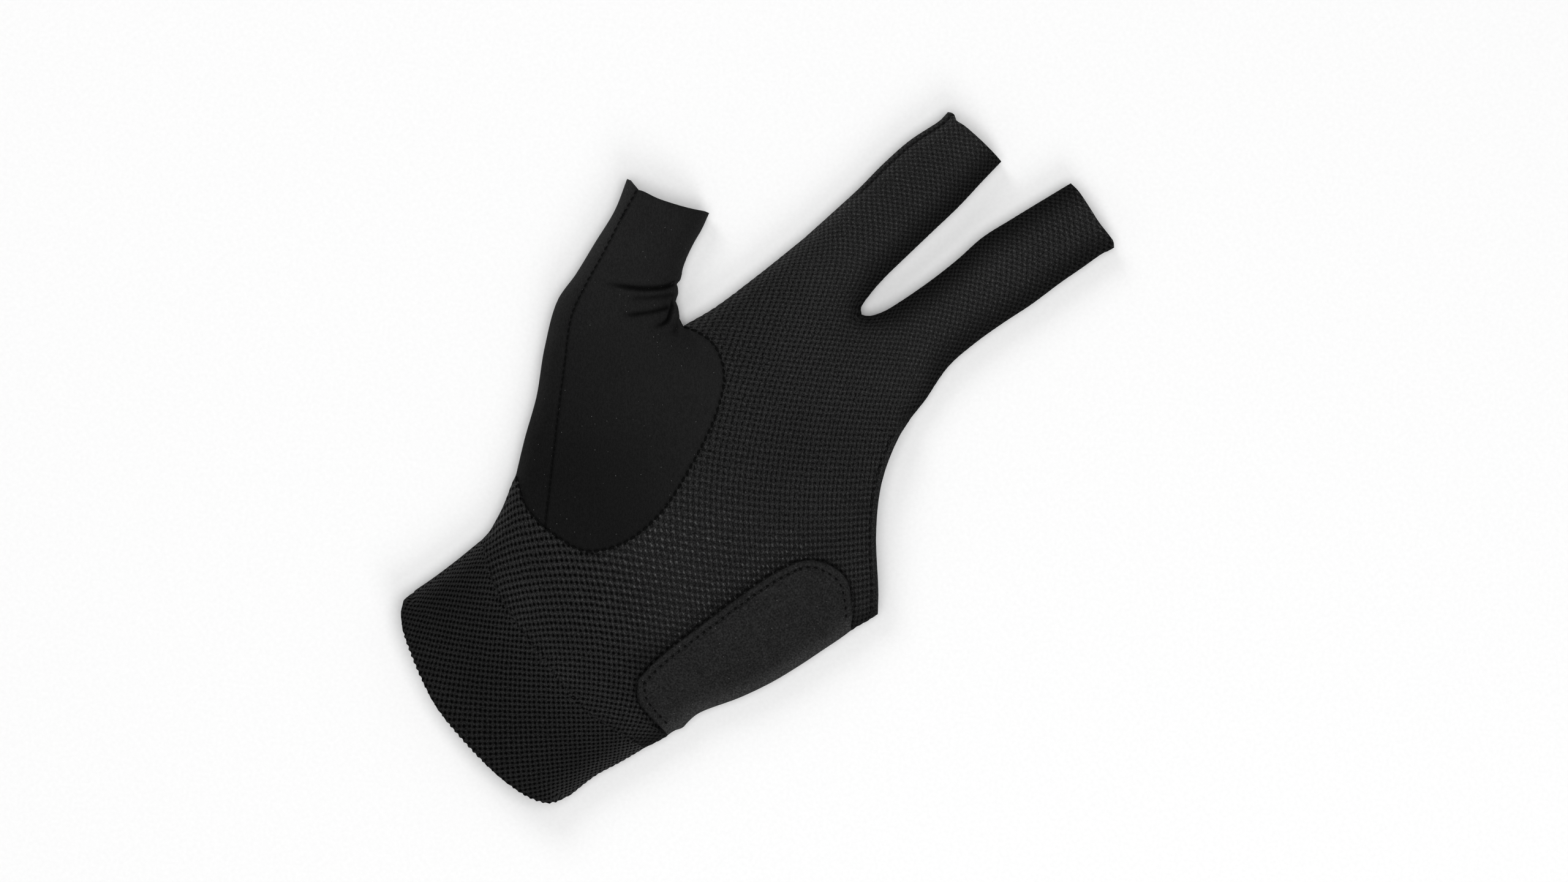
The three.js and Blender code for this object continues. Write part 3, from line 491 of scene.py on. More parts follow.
def crowded(count, first=True, last=True, zone=0.04):
    """Shares from 0 to 1 in even steps, but growing from nothing near the sides that are folds."""
    t = np.linspace(0, 1, count + 1)
    start = np.where(t < zone, t * t / (2 * zone), t - zone / 2) if first else t
    cut = (t > 1 - zone) & last
    end = zone / 2 - (1 - t) ** 2 / (2 * zone)
    q = np.where(cut, (1 - zone - (zone / 2 if first else 0)) + end, start)
    return q / q[-1]


def even_rows(shares, rows):
    return np.repeat(shares[None], rows, 0)


# Meshes

def quads(ids):
    return np.stack([ids[:-1, :-1], ids[1:, :-1], ids[1:, 1:], ids[:-1, 1:]], -1).reshape(-1, 4)


def halves(quad, points):
    """Each four-sided face as two triangles, cut along its shorter diagonal."""
    a, b, c, d = quad.T
    short = np.linalg.norm(points[a] - points[c], axis=1) <= np.linalg.norm(points[b] - points[d], axis=1)
    one = np.where(short[:, None], np.stack([a, b, c], -1), np.stack([a, b, d], -1))
    two = np.where(short[:, None], np.stack([a, c, d], -1), np.stack([b, c, d], -1))
    return np.vstack([one, two])


def rim(outer, inner):
    """Triangles from a fine outer edge to a coarse inner one. Each coarse step takes a fan of fine ones from
    each of its ends, and one triangle joins the two fans."""
    fine = (len(outer) - 1) // (len(inner) - 1)
    step = np.arange(len(outer) - 1)
    coarse, within = step // fine, step % fine
    near = inner[coarse + (within >= (fine + 1) // 2)]
    fans = np.stack([outer[step + 1], outer[step], near], -1)
    start = np.arange(len(inner) - 1)
    joins = np.stack([outer[start * fine + (fine + 1) // 2], inner[start], inner[start + 1]], -1)
    return np.vstack([fans, joins])


def piece_from(name, points, triangles, material, values=None, sharp=50):
    """Puts points in millimetres and triangles into a mesh object that rides on the glove. Points in the same
    place are merged first, and triangles that lose a corner go. values holds six numbers for each point, kept
    as the attributes weave and knit."""
    key = np.round(points / 1e-4).astype(np.int64)
    _, first, number = np.unique(key, axis=0, return_index=True, return_inverse=True)
    triangles = number.reshape(-1)[triangles]
    a, b, c = triangles.T
    triangles = triangles[(a != b) & (b != c) & (c != a)]
    points = points[first]
    mesh = bpy.data.meshes.new(name)
    mesh.vertices.add(len(points))
    mesh.vertices.foreach_set("co", (points * MM).astype(np.float32).ravel())
    mesh.loops.add(triangles.size)
    mesh.loops.foreach_set("vertex_index", triangles.astype(np.int32).ravel())
    mesh.polygons.add(len(triangles))
    mesh.polygons.foreach_set("loop_start", np.arange(0, triangles.size, 3, dtype=np.int32))
    mesh.polygons.foreach_set("use_smooth", np.ones(len(triangles), bool))
    mesh.update(calc_edges=True)
    mesh.set_sharp_from_angle(angle=math.radians(sharp))
    if values is not None:
        for label, part in (("weave", values[first, :3]), ("knit", values[first, 3:])):
            kept = mesh.attributes.new(label, "FLOAT_VECTOR", "POINT")
            kept.data.foreach_set("vector", part.astype(np.float32).ravel())
    mesh.materials.append(material)
    piece = bpy.data.objects.new(name, mesh)
    bpy.context.scene.collection.objects.link(piece)
    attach(piece, "root")
    return piece


def cloth_piece(name, patches, material):
    """Joins patches of cloth into one closed piece. A patch has a fine outside, a coarse inside at its wall's
    depth, the sides of it that end the cloth, and its weave. Its faces are turned to point outwards."""
    points, triangles, values, start = [], [], [], 0
    for patch in patches:
        outer, inner = patch.outer, patch.inner
        ids = start + np.arange(outer[..., 0].size).reshape(outer.shape[:2])
        ins = start + ids.size + np.arange(inner[..., 0].size).reshape(inner.shape[:2])
        here = np.vstack([outer.reshape(-1, 3), inner.reshape(-1, 3)])
        faces = [
            halves(quads(ids) - start, here),
            halves(quads(ins) - start, here)[:, ::-1],
        ]
        around = {
            "w": (ids[:, 0], ins[:, 0]), "s": (ids[-1], ins[-1]),
            "e": (ids[::-1, -1], ins[::-1, -1]), "n": (ids[0, ::-1], ins[0, ::-1]),
        }
        faces += [rim(around[side][0] - start, around[side][1] - start) for side in patch.ends]
        faces = np.vstack(faces)
        a, b = outer[1:, :-1] - outer[:-1, :-1], outer[:-1, 1:] - outer[:-1, :-1]
        if np.cross(a, b)[..., 2].sum() * patch.up < 0:
            faces = faces[:, ::-1]
        points.append(here)
        triangles.append(faces + start)
        weave = [w.reshape(-1, 6) for w in (patch.weave, patch.weave[::patch.every, ::patch.every])]
        values.append(np.vstack(weave))
        start += len(here)
    return piece_from(name, np.vstack(points), np.vstack(triangles), material, np.vstack(values))


def patch_of(plan, side, wall, every, relief, weave, ends):
    """One patch of cloth over a plan grid: the shell moved along its normal by the relief, and the shell set
    in by the wall. relief and weave are functions of what the shell gives."""
    s = shell(plan, side)
    outer = s.point + s.normal * relief(s)[..., None]
    coarse = SimpleNamespace(point=s.point[::every, ::every], normal=s.normal[::every, ::every])
    inner = coarse.point - coarse.normal * wall
    return SimpleNamespace(outer=outer, inner=inner, up=side.up, weave=weave(s), every=every, ends=ends)


# Weave of the mesh cloth

# Rows of pores run across the hand at a slant both ways. Their counts p and q are sums of x / 50 to the
# power i times y / 100 to the power j, with these factors: i, j, factor for p, factor for q. The factors are
# a least squares fit, made by a separate script, to the rows' directions and spacings measured on the photo
HAND_ROWS = np.array([
    (0, 1, 38.58, 42.06), (0, 2, 0.13, 6.58), (0, 3, 14.28, -3.89), (0, 4, -9.03, 2.81),
    (1, 0, 23.67, -20.36), (1, 1, 27.31, -16.2), (1, 2, -0.69, -9.32), (1, 3, -31.77, 21.0),
    (2, 0, 2.1, 2.85), (2, 1, 5.5, 4.2), (2, 2, 3.58, 4.3),
    (3, 0, -4.19, -3.23), (3, 1, -7.35, -1.35), (4, 0, 1.88, 0.24),
])
INDEX_ROWS = np.array([
    (0, 1, 37.96, 60.05), (0, 2, 13.68, -2.32), (1, 0, 23.94, -25.27), (1, 1, 0.89, 3.15), (2, 0, 8.36, 5.25),
])
MIDDLE_ROWS = np.array([
    (0, 1, 51.63, 37.22), (0, 2, 5.16, 9.95), (1, 0, 44.88, -33.95), (1, 1, -27.76, 9.05), (2, 0, 2.24, 7.56),
])
CUFF_ROWS = np.array([
    (0, 1, 54.49, -41.51), (0, 2, -27.49, -77.01), (0, 3, -16.63, -21.8),
    (1, 0, 8.52, -5.29), (1, 1, -45.02, 49.86), (1, 2, -16.59, 32.85),
    (2, 0, -6.39, 12.37), (2, 1, 13.6, 10.91), (3, 0, 7.53, -4.74),
])


def row_counts(p, rows):
    x, y = p[..., 0, None] / 50, p[..., 1, None] / 100
    term = x ** rows[:, 0] * y ** rows[:, 1]
    return term @ rows[:, 2:]


def net_of(counts):
    """Repeats of the net across and along the hand, from the counts of its slanting rows."""
    return (counts[..., 0] - counts[..., 1]) / 2, (counts[..., 0] + counts[..., 1]) / 2


def hand_lattice(p):
    """The hand's own counts, turning above the knuckles into those of each finger, which agree with the
    hand's at a point near the finger's foot."""
    counts = row_counts(p, HAND_ROWS)
    y = p[..., 1, None]
    for rows, foot, side in ((INDEX_ROWS, (-16.5, 52), -1), (MIDDLE_ROWS, (15, 52), 1)):
        foot = np.array(foot, float)
        own = row_counts(p, rows) + row_counts(foot, HAND_ROWS) - row_counts(foot, rows)
        beside = side * (p[..., 0, None] - FINGER_CROTCH[0]) > 0
        counts = mix(counts, own, smooth(y, 46, 60) * beside)
    return net_of(counts)


def hem_share(s):
    """One over the folded hem of the opening, where the net is pressed flat."""
    return 1 - smooth(distance_to(OPENING_LINE, s.plan), 1.4, 2.2)


def ruffled(s, u, v):
    """Pulls the net about within 2 mm of the wrist seam."""
    near = 0.14 * bell(distance_to(CUFF_SEAM_LINE, s.plan), 1.3)
    x = s.plan[..., 0]
    return u + near * np.sin(2.9 * x + np.sin(1.1 * x)), v + near * np.cos(2.1 * x - 2 * np.sin(0.7 * x))


def painted_fold_light(s, strength, width):
    """A painted highlight: above one beside a side fold, for the sheen of the cloth's fuzz seen edge on
    against the pale floor.
    """
    return 1 + strength * bell(s.near, width)


def mesh_weave(s):
    """Repeats across and along and the painted light and shade, then how open the round pores are, how bright
    the knots' painted highlight is, and how far the other pores are drawn shut into slits. The pores are open
    at the wrist, along the outer side and towards the folds. The knots' painted highlight is brighter between
    the thumb patch and the tab, along the fingers and at their tips."""
    u, v = ruffled(s, *hand_lattice(s.laid))
    x, y = s.plan[..., 0], s.plan[..., 1]
    inner = s.foot[..., 0] < INNER_SIDE
    wrist = 1 - smooth(y + 0.25 * x, -62, -30)
    outer = smooth(x, 34, 48) * smooth(y, -14, 2)
    finger = smooth(y, 30, 60)
    side = (1 - smooth(s.near, 0.5, 5)) * np.where(inner, 0.4, 1)
    welt = smooth(y, 62, 70) * (1 - smooth(x, -24, -20)) * (1 - smooth(s.near, 1.6, 2.4))
    pore = np.maximum.reduce([wrist, 0.6 * outer, np.full_like(x, 0.1), 0.8 * side]) * (1 - welt)
    tab = bell(distance_to(TAB_INNER_LINE, s.plan), 9) * band(y, -48, -9, 12)
    middle = bell(x - 24, 17) * bell(y + 40, 24)
    knot = np.maximum.reduce([tab, 0.85 * middle, 0.27 * finger, np.full_like(x, 0.15)]) * (1 - side)
    knot = np.maximum(knot, 0.9 * bell(tip_distance(s.plan), 0.6))
    flat = 1 - hem_share(s)
    # Painted shade darkens the mesh towards the eastern side folds, more widely on the fingers, and a painted
    # highlight lightens it beside the western ones. On the index finger's welt a painted highlight lies on
    # its strip and painted shade in its groove.
    dark = mix(1 - 0.38 * side, 1 - 0.47 * (1 - smooth(s.near, 2, 9)), smooth(y, 42, 58))
    shade = np.where(inner, painted_fold_light(s, 1.0, 2.4), dark)
    shade = mix(shade, 1.4 - 1.0 * bell(s.near - 1.15, 0.32), welt)
    # It is also darker beside the wrist seam and lighter towards the fingers.
    shade *= (1 - 0.18 * bell(distance_to(CUFF_SEAM_LINE, s.plan), 1.6)) * mix(1, 1.12, smooth(y, 15, 40))
    slit = 0.85 * (1 - pore) * (1 - 0.8 * np.maximum(middle, tab)) * (1 - 0.5 * finger)
    return np.stack([u, v, shade, pore * flat, knot * flat, slit * flat], -1)


CORNERS = np.array([
    THUMB_CROTCH, THUMB_OUTER_END, CUFF_SEAM_INNER, CUFF_SEAM_OUTER, OPENING_TOP, OPENING_CORNER, MOUTH_INNER,
    MOUTH_OUTER, *TIPS.values(),
])


def knobs(s, lattice, depth, still=1.0):
    """Relief of the mesh: the product of two cosines, so that knots and pores alternate, times still. At the
    side folds it turns into one row of round knobs that both sheets share, smaller along the cuff's inner
    fold, and level at the corners where pieces meet."""
    u, v = lattice(s.laid)
    flat = still * np.cos(2 * np.pi * u) * np.cos(2 * np.pi * v)
    x, y = s.foot[..., 0], s.foot[..., 1]
    size = (1 - 0.85 * (1 - smooth(x, -8, 0)) * (1 - smooth(y, -72, -62))) * mix(0.6, 0.2, smooth(y, 20, 45))
    corner = np.linalg.norm(s.foot[..., None, :] - CORNERS, axis=-1).min(-1)
    edge = size * smooth(corner, 0.3, 2.5) * (2 * np.abs(np.cos(np.pi * lattice(s.foot)[1])) - 0.6)
    return depth * mix(edge, flat, smooth(s.near, 0, 1.3))


def edge_round(distance, r):
    """How deep the outside sinks towards an open edge: a quarter circle of that radius."""
    t = 1 - np.minimum(distance / r, 1)
    return -r * (1 - np.sqrt(1 - np.minimum(t, 1) ** 2))


def groove(distance, depth, width):
    return -depth * bell(distance, width)


def off_folds(s):
    """Nothing at a side fold, growing to one away from it."""
    return smooth(s.near, 0, FOLD_FADE)


# Materials

def linear(hex_colour):
    """An sRGB hex value as linear red, green, blue and one."""
    value = np.array([int(hex_colour[i:i + 2], 16) for i in (1, 3, 5)]) / 255
    return (*np.where(value <= 0.04045, value / 12.92, ((value + 0.055) / 1.055) ** 2.4), 1.0)


SMOOTH_STEP = {"interpolation_type": "SMOOTHSTEP"}


def node(tree, kind, inputs=(), output=0, **settings):
    """Adds a shader node with its settings and links, and gives one of its outputs, or the node itself if
    output is None. inputs are values or other nodes' outputs: a tuple or list in the order of its sockets, or
    a dict by their names or numbers."""
    made = tree.nodes.new("ShaderNode" + kind)
    for name, value in settings.items():
        setattr(made, name, value)
    by_socket = inputs if isinstance(inputs, dict) else dict(enumerate(inputs))
    for socket, value in by_socket.items():
        if isinstance(value, bpy.types.NodeSocket):
            tree.links.new(value, made.inputs[socket])
        else:
            made.inputs[socket].default_value = value
    return made if output is None else made.outputs[output]


def cells(size):
    """Scale of a pattern whose cells are that many millimetres wide."""
    return 1 / (size * MM)


def new_material(name):
    material = bpy.data.materials.new(name)
    material.use_nodes = True
    tree = material.node_tree
    tree.nodes.clear()
    return material, tree


def finish_material(tree, colour, roughness, height, distance, specular):
    """The common end of every material: bump, one cloth-like surface and the output."""
    bump = node(tree, "Bump", {"Strength": 1.0, "Distance": distance, "Height": height})
    surface = node(tree, "BsdfPrincipled", {
        "Base Color": colour, "Roughness": roughness, "Normal": bump, "Specular IOR Level": specular,
    })
    node(tree, "OutputMaterial", {"Surface": surface}, output=None)


def two_tone(tree, share, dark, light, tone):
    """The mix of two sRGB colours by a share, made brighter or darker by a tone."""
    mixed = node(tree, "Mix", {0: share, 6: linear(dark), 7: linear(light)}, output=2, data_type="RGBA")
    return node(tree, "VectorMath", {0: mixed, "Scale": tone}, operation="SCALE")


def stored_shade(tree):
    """The painted light and shade that the shapes store as the third part of weave."""
    weave = node(tree, "Attribute", output="Vector", attribute_name="weave", attribute_type="GEOMETRY")
    return node(tree, "SeparateXYZ", (weave,), output=2)


def mesh_material(name, yarn, pore, knot, settings, pore_full=-0.9):
    """Knitted polyester air mesh: matt yarn in small crowded loops, in a staggered net whose pores are round
    and dark, partly from painted shade, or drawn shut into slits, with oval knots between them that catch a
    painted highlight."""
    material, tree = new_material(name)
    pulled = node(tree, "Attribute", output="Vector", attribute_name="weave", attribute_type="GEOMETRY")
    knit = node(tree, "Attribute", output="Vector", attribute_name="knit", attribute_type="GEOMETRY")
    place = node(tree, "TexCoord", output="Object")
    # The net strays by about a tenth of a repeat over 3 mm, and each loop of yarn by less over 0.7 mm
    for size, amount in ((3.03, settings.wander), (0.667, 0.6 * settings.wander)):
        noise = node(tree, "TexNoise", {"Vector": place, "Scale": cells(size), "Detail": 1.0}, output="Color")
        pull = node(tree, "VectorMath", (noise, (0.5, 0.5, 0.5)), operation="SUBTRACT")
        pulled = node(tree, "VectorMath", (pull, (amount, amount, 0), pulled), operation="MULTIPLY_ADD")
    # shade is the painted light and shade that the shapes store, with the mesh's darker and lighter stretches
    u, v, shade = node(tree, "SeparateXYZ", (pulled,), output=None).outputs
    open_share, knot_share, slit_share = node(tree, "SeparateXYZ", (knit,), output=None).outputs
    # Along the diagonals p and q of the net, pores lie at the halves and knots at the whole numbers
    p, q = (node(tree, "Math", (u, v), operation=operation) for operation in ("ADD", "SUBTRACT"))
    turns = [node(tree, "Math", (count, math.tau), operation="MULTIPLY") for count in (p, q)]
    wave_p, wave_q = (node(tree, "Math", (turn,), operation="COSINE") for turn in turns)
    waves = node(tree, "Math", (wave_p, wave_q), operation="ADD")
    net = node(tree, "Math", (waves, 0.5), operation="MULTIPLY")
    # A chance for each cell of the pores and then of the knots, and the place in it from its strayed middle
    chances, offsets, stray = [], [], 0.3
    for shift in (0.0, 0.5):
        counts = [node(tree, "Math", (count, shift), operation="ADD") for count in (p, q)]
        cell = node(tree, "CombineXYZ", (
            *(node(tree, "Math", (count,), operation="FLOOR") for count in counts), shift))
        dice = node(tree, "TexWhiteNoise", {"Vector": cell}, output=None)
        throws = node(tree, "SeparateXYZ", (dice.outputs["Color"],), output=None).outputs
        chances.append(dice.outputs["Value"])
        offsets.append([])
        for count, throw in zip(counts, throws):
            within = node(tree, "Math", (count,), operation="FRACT")
            strayed = node(tree, "Math", (throw, stray), operation="MULTIPLY")
            moved = node(tree, "Math", (within, strayed), operation="ADD")
            offsets[-1].append(node(tree, "Math", (moved, -0.5 - stray / 2), operation="ADD"))
    # Slits lie along the rows of one slant, and some of them along the other's
    turned = node(tree, "Math", (chances[0], 0.15), operation="LESS_THAN")
    level, upright = (node(tree, "Math", (offset,), operation="ABSOLUTE") for offset in offsets[0])
    across = node(tree, "Mix", {0: turned, 2: level, 3: upright})
    onward = node(tree, "Mix", {0: turned, 2: upright, 3: level})
    slit = node(tree, "MapRange", (across, 0.17, 0.05), **SMOOTH_STEP)
    for share in (node(tree, "MapRange", (onward, 0.4, 0.18), **SMOOTH_STEP), slit_share):
        slit = node(tree, "Math", (slit, share), operation="MULTIPLY")
    round_pore = node(tree, "MapRange", (net, -settings.pore_edge, pore_full), **SMOOTH_STEP)
    hole = node(tree, "Math", (round_pore, open_share), operation="MULTIPLY")
    # Knots are ovals of painted highlight: the reach is one where their light has half faded
    squares = []
    for operation, stretch in (("ADD", 3.0), ("SUBTRACT", 4.6)):
        offset = node(tree, "Math", offsets[1], operation=operation)
        stretched = node(tree, "Math", (offset, stretch), operation="MULTIPLY")
        squares.append(node(tree, "Math", (stretched, 2.0), operation="POWER"))
    reach = node(tree, "Math", (node(tree, "Math", squares, operation="ADD"),), operation="SQRT")
    shine = node(tree, "MapRange", (reach, 1.5, 0.5), **SMOOTH_STEP)
    for share in (knot_share, node(tree, "MapRange", (chances[1], 0.0, 1.0, 0.4, 1.0), **SMOOTH_STEP)):
        shine = node(tree, "Math", (shine, share), operation="MULTIPLY")
    dip = node(tree, "MapRange", (wave_q, 0.5, -0.9, 0.0, -0.2), **SMOOTH_STEP)
    open_dip = node(tree, "Math", (dip, open_share), operation="MULTIPLY")
    row = node(tree, "Math", (open_dip, 1.0), operation="ADD")
    # Loops of yarn, about 0.5 mm apart, and filaments drawn out along the hand
    laid = node(tree, "VectorMath", (pulled, (5.4, 4.2, 0)), operation="MULTIPLY")
    loops = node(tree, "TexVoronoi", {
        "Vector": laid, "Scale": 1.0, "Randomness": 0.85,
    }, output="Distance", voronoi_dimensions="2D")
    strand = node(tree, "Mapping", {"Vector": place, "Scale": (1.0, 0.6, 1.0)})
    fibre = node(tree, "TexNoise", {"Vector": strand, "Scale": cells(0.3125), "Detail": 2.0}, output="Fac")
    cloudy = node(tree, "TexNoise", {"Vector": place, "Scale": cells(16.7), "Detail": 3.0}, output="Fac")
    tone = node(tree, "MapRange", (loops, 0.08, 0.62, 1.4, 0.56), **SMOOTH_STEP)
    for factor in (
        node(tree, "MapRange", (fibre, 0.25, 0.75, 0.75, 1.25), **SMOOTH_STEP),
        node(tree, "MapRange", (cloudy, 0.2, 0.8, 0.92, 1.08), **SMOOTH_STEP),
        node(tree, "MapRange", (net, -1.0, 1.0, 0.78, 1.2), **SMOOTH_STEP),
        shade, row,
    ):
        tone = node(tree, "Math", (tone, factor), operation="MULTIPLY")
    toned = two_tone(tree, shine, yarn, knot, tone)
    # Pores and slits take the near black pore colour: partly the black cloth behind them, partly painted
    # shade
    dark = node(tree, "Math", (hole, slit), operation="MAXIMUM")
    colour = node(tree, "Mix", {0: dark, 6: toned, 7: linear(pore)}, output=2, data_type="RGBA")
    height = node(tree, "Math", (net, 0.5), operation="MULTIPLY")
    for part, weight in ((loops, -0.9), (shine, 1.0), (hole, -1.2), (slit, -0.8)):
        weighted = node(tree, "Math", (part, weight), operation="MULTIPLY")
        height = node(tree, "Math", (height, weighted), operation="ADD")
    finish_material(tree, colour, 0.95, height, settings.bump * MM, 0.03)
    return material


def linted(tree, place, toned, lint_colour, apart, radius, share):
    """Specks of lint over a colour, in cells some millimetres apart. A share of the cells have a dot in their
    middle, whose radius is given as a part of the cell's width."""
    cell = node(tree, "TexVoronoi", {"Vector": place, "Scale": cells(apart)}, output=None)
    chance, bright, _ = node(tree, "SeparateColor", (cell.outputs["Color"],), output=None).outputs
    dot = node(tree, "Math", (cell.outputs["Distance"], radius), operation="LESS_THAN")
    some = node(tree, "Math", (chance, share), operation="LESS_THAN")
    both = node(tree, "Math", (dot, some), operation="MULTIPLY")
    lint = node(tree, "Math", (both, bright), operation="MULTIPLY")
    return node(tree, "Mix", {0: lint, 6: toned, 7: linear(lint_colour)}, output=2, data_type="RGBA")


def smooth_cloth_material(name, cloth, light, lint_colour):
    """Brushed nylon and elastane jersey: an even satin black with fine ribs along the thumb and a little
    lint, with painted shade that makes it darker towards the wrist."""
    material, tree = new_material(name)
    place = node(tree, "TexCoord", output="Object")
    turned = node(tree, "Mapping", {
        "Vector": place, "Rotation": (0, 0, math.radians(-36.8)), "Scale": (2.2, 1.0, 1.0),
    }, vector_type="TEXTURE")
    ribs = node(tree, "TexNoise", {"Vector": turned, "Scale": cells(0.417), "Detail": 2.0}, output="Fac")
    grain = node(tree, "TexNoise", {"Vector": place, "Scale": cells(0.278), "Detail": 2.0}, output="Fac")
    cloudy = node(tree, "TexNoise", {"Vector": place, "Scale": cells(22.2), "Detail": 3.0}, output="Fac")
    both = node(tree, "Math", (ribs, grain), operation="ADD")
    nap = node(tree, "Math", (both, 0.5), operation="MULTIPLY")
    onward = node(tree, "SeparateXYZ", (place,), output=1)
    tone = node(tree, "MapRange", (cloudy, 0.2, 0.8, 0.93, 1.07), **SMOOTH_STEP)
    # Painted shade: darker towards the wrist
    wrist = node(tree, "MapRange", (onward, -0.055, 0.005, 0.55, 1.08), **SMOOTH_STEP)
    for factor in (wrist, stored_shade(tree)):
        tone = node(tree, "Math", (tone, factor), operation="MULTIPLY")
    share = node(tree, "MapRange", (nap, 0.34, 0.66), **SMOOTH_STEP)
    toned = two_tone(tree, share, cloth, light, tone)
    colour = linted(tree, place, toned, lint_colour, 1.54, 0.07, 0.5)
    finish_material(tree, colour, 0.8, nap, 0.05 * MM, 0.03)
    return material


def felt_material(name, cloth, light, lint_colour):
    """Loop felt for a hook fastener: a dense brushed nap, mottled, with more lint than the rest."""
    material, tree = new_material(name)
    place = node(tree, "TexCoord", output="Object")
    nap = node(tree, "TexNoise", {
        "Vector": place, "Scale": cells(0.5), "Detail": 3.0, "Roughness": 0.6,
    }, output="Fac")
    tuft = node(tree, "TexVoronoi", {"Vector": place, "Scale": cells(0.77)}, output="Distance")
    cloudy = node(tree, "TexNoise", {"Vector": place, "Scale": cells(6.67), "Detail": 3.0}, output="Fac")
    tone = node(tree, "MapRange", (cloudy, 0.25, 0.75, 0.93, 1.07), **SMOOTH_STEP)
    tufted = node(tree, "MapRange", (tuft, 0.1, 0.7, 1.15, 0.85), **SMOOTH_STEP)
    for factor in (tufted, stored_shade(tree)):
        tone = node(tree, "Math", (tone, factor), operation="MULTIPLY")
    share = node(tree, "MapRange", (nap, 0.28, 0.72), **SMOOTH_STEP)
    toned = two_tone(tree, share, cloth, light, tone)
    colour = linted(tree, place, toned, lint_colour, 1.43, 0.08, 0.6)
    hollow = node(tree, "Math", (tuft, -0.5), operation="MULTIPLY")
    height = node(tree, "Math", (nap, hollow), operation="ADD")
    finish_material(tree, colour, 1.0, height, 0.2 * MM, 0.02)
    return material


def thread_material(name, dark, light):
    """Spun polyester sewing thread: black, with a low gloss on its twist."""
    material, tree = new_material(name)
    place = node(tree, "TexCoord", output="Object")
    twist = node(tree, "TexNoise", {"Vector": place, "Scale": cells(0.333), "Detail": 2.0}, output="Fac")
    finish_material(tree, two_tone(tree, twist, dark, light, 1.0), 0.8, twist, 0.08 * MM, 0.05)
    return material


def hook_material(name, dark, light):
    """Moulded nylon hook tape: rows of small stiff hooks, 1.3 mm apart, slightly glossy."""
    material, tree = new_material(name)
    place = node(tree, "TexCoord", output="Object")
    hooks = node(tree, "TexVoronoi", {
        "Vector": place, "Scale": cells(1.3), "Randomness": 0.2,
    }, output="Distance")
    finish_material(tree, two_tone(tree, hooks, light, dark, 1.0), 0.45, hooks, -0.4 * MM, 0.3)
    return material


def floor_material(name, colour, shade):
    """Matt white paper sweep: an even white that takes only soft shadows."""
    material, tree = new_material(name)
    place = node(tree, "TexCoord", output="Object")
    fibre = node(tree, "TexNoise", {"Vector": place, "Scale": cells(1.11), "Detail": 3.0}, output="Fac")
    finish_material(tree, two_tone(tree, fibre, colour, shade, 1.0), 0.9, fibre, 0.01 * MM, 0.1)
    return material


# Stitches

def tubes(path, across, upward, radius):
    """Round bars along many short paths at once: each ring is a circle of that radius in the plane of the two
    directions given with its path point."""
    turn = np.linspace(0, 2 * np.pi, 7)
    ring = (np.cos(turn)[:, None] * across[..., None, :] + np.sin(turn)[:, None] * upward[..., None, :])
    points = path[..., None, :] + ring * radius[..., None, None]
    count, rings, sides = points.shape[:3]
    ids = np.arange(count * rings * sides).reshape(count, rings, sides)
    a, b, c, d = ids[:, :-1, :-1], ids[:, 1:, :-1], ids[:, 1:, 1:], ids[:, :-1, 1:]
    triangles = np.concatenate([
        np.stack(corners, -1).reshape(-1, 3) for corners in ((a, c, b), (a, d, c))])
    return points.reshape(-1, 3), triangles


def stitch_row(line, side, length, gap, thick, lift, slant=0.0):
    """Stitches along a line on the cloth. Each is a bar that leaves the cloth, arches over it as half a sine
    wave, and goes in again, with ends that close like a circle. slant turns each one by that much of its
    length across the line."""
    total = arc(line)[-1]
    count = int(total // (length + gap))
    t = np.linspace(0, 1, 7)
    start = (np.arange(count) + 0.5) * total / count - length / 2
    share = (start[:, None] + t * length) / total
    plan = along(line, share)
    run = along(line, share + 1e-4) - along(line, share - 1e-4)
    run /= np.linalg.norm(run, axis=-1)[..., None]
    plan = plan + (slant * length * (t - 0.5))[:, None] * np.stack([-run[..., 1], run[..., 0]], -1)
    s = shell(plan, side)
    path = s.point + s.normal * (lift + 0.8 * thick * (np.sin(np.pi * t) - 0.5))[:, None]
    forward = np.gradient(path, axis=1)
    forward /= np.linalg.norm(forward, axis=-1)[..., None]
    across = np.cross(s.normal, forward)
    across /= np.linalg.norm(across, axis=-1)[..., None]
    upward = np.cross(forward, across)
    radius = np.broadcast_to(thick / 2 * np.sqrt(np.maximum(1 - (2 * t - 1) ** 4, 0)), share.shape)
    return tubes(path, across, upward, radius)


def joined(parts):
    """Several lots of points and triangles as one."""
    points, triangles, start = [], [], 0
    for p, f in parts:
        points.append(p)
        triangles.append(f + start)
        start += len(p)
    return np.vstack(points), np.vstack(triangles)


# Settings

def colour_setting(name, hex_colour, description):
    return StringProperty(name=name, default=hex_colour, description=description)


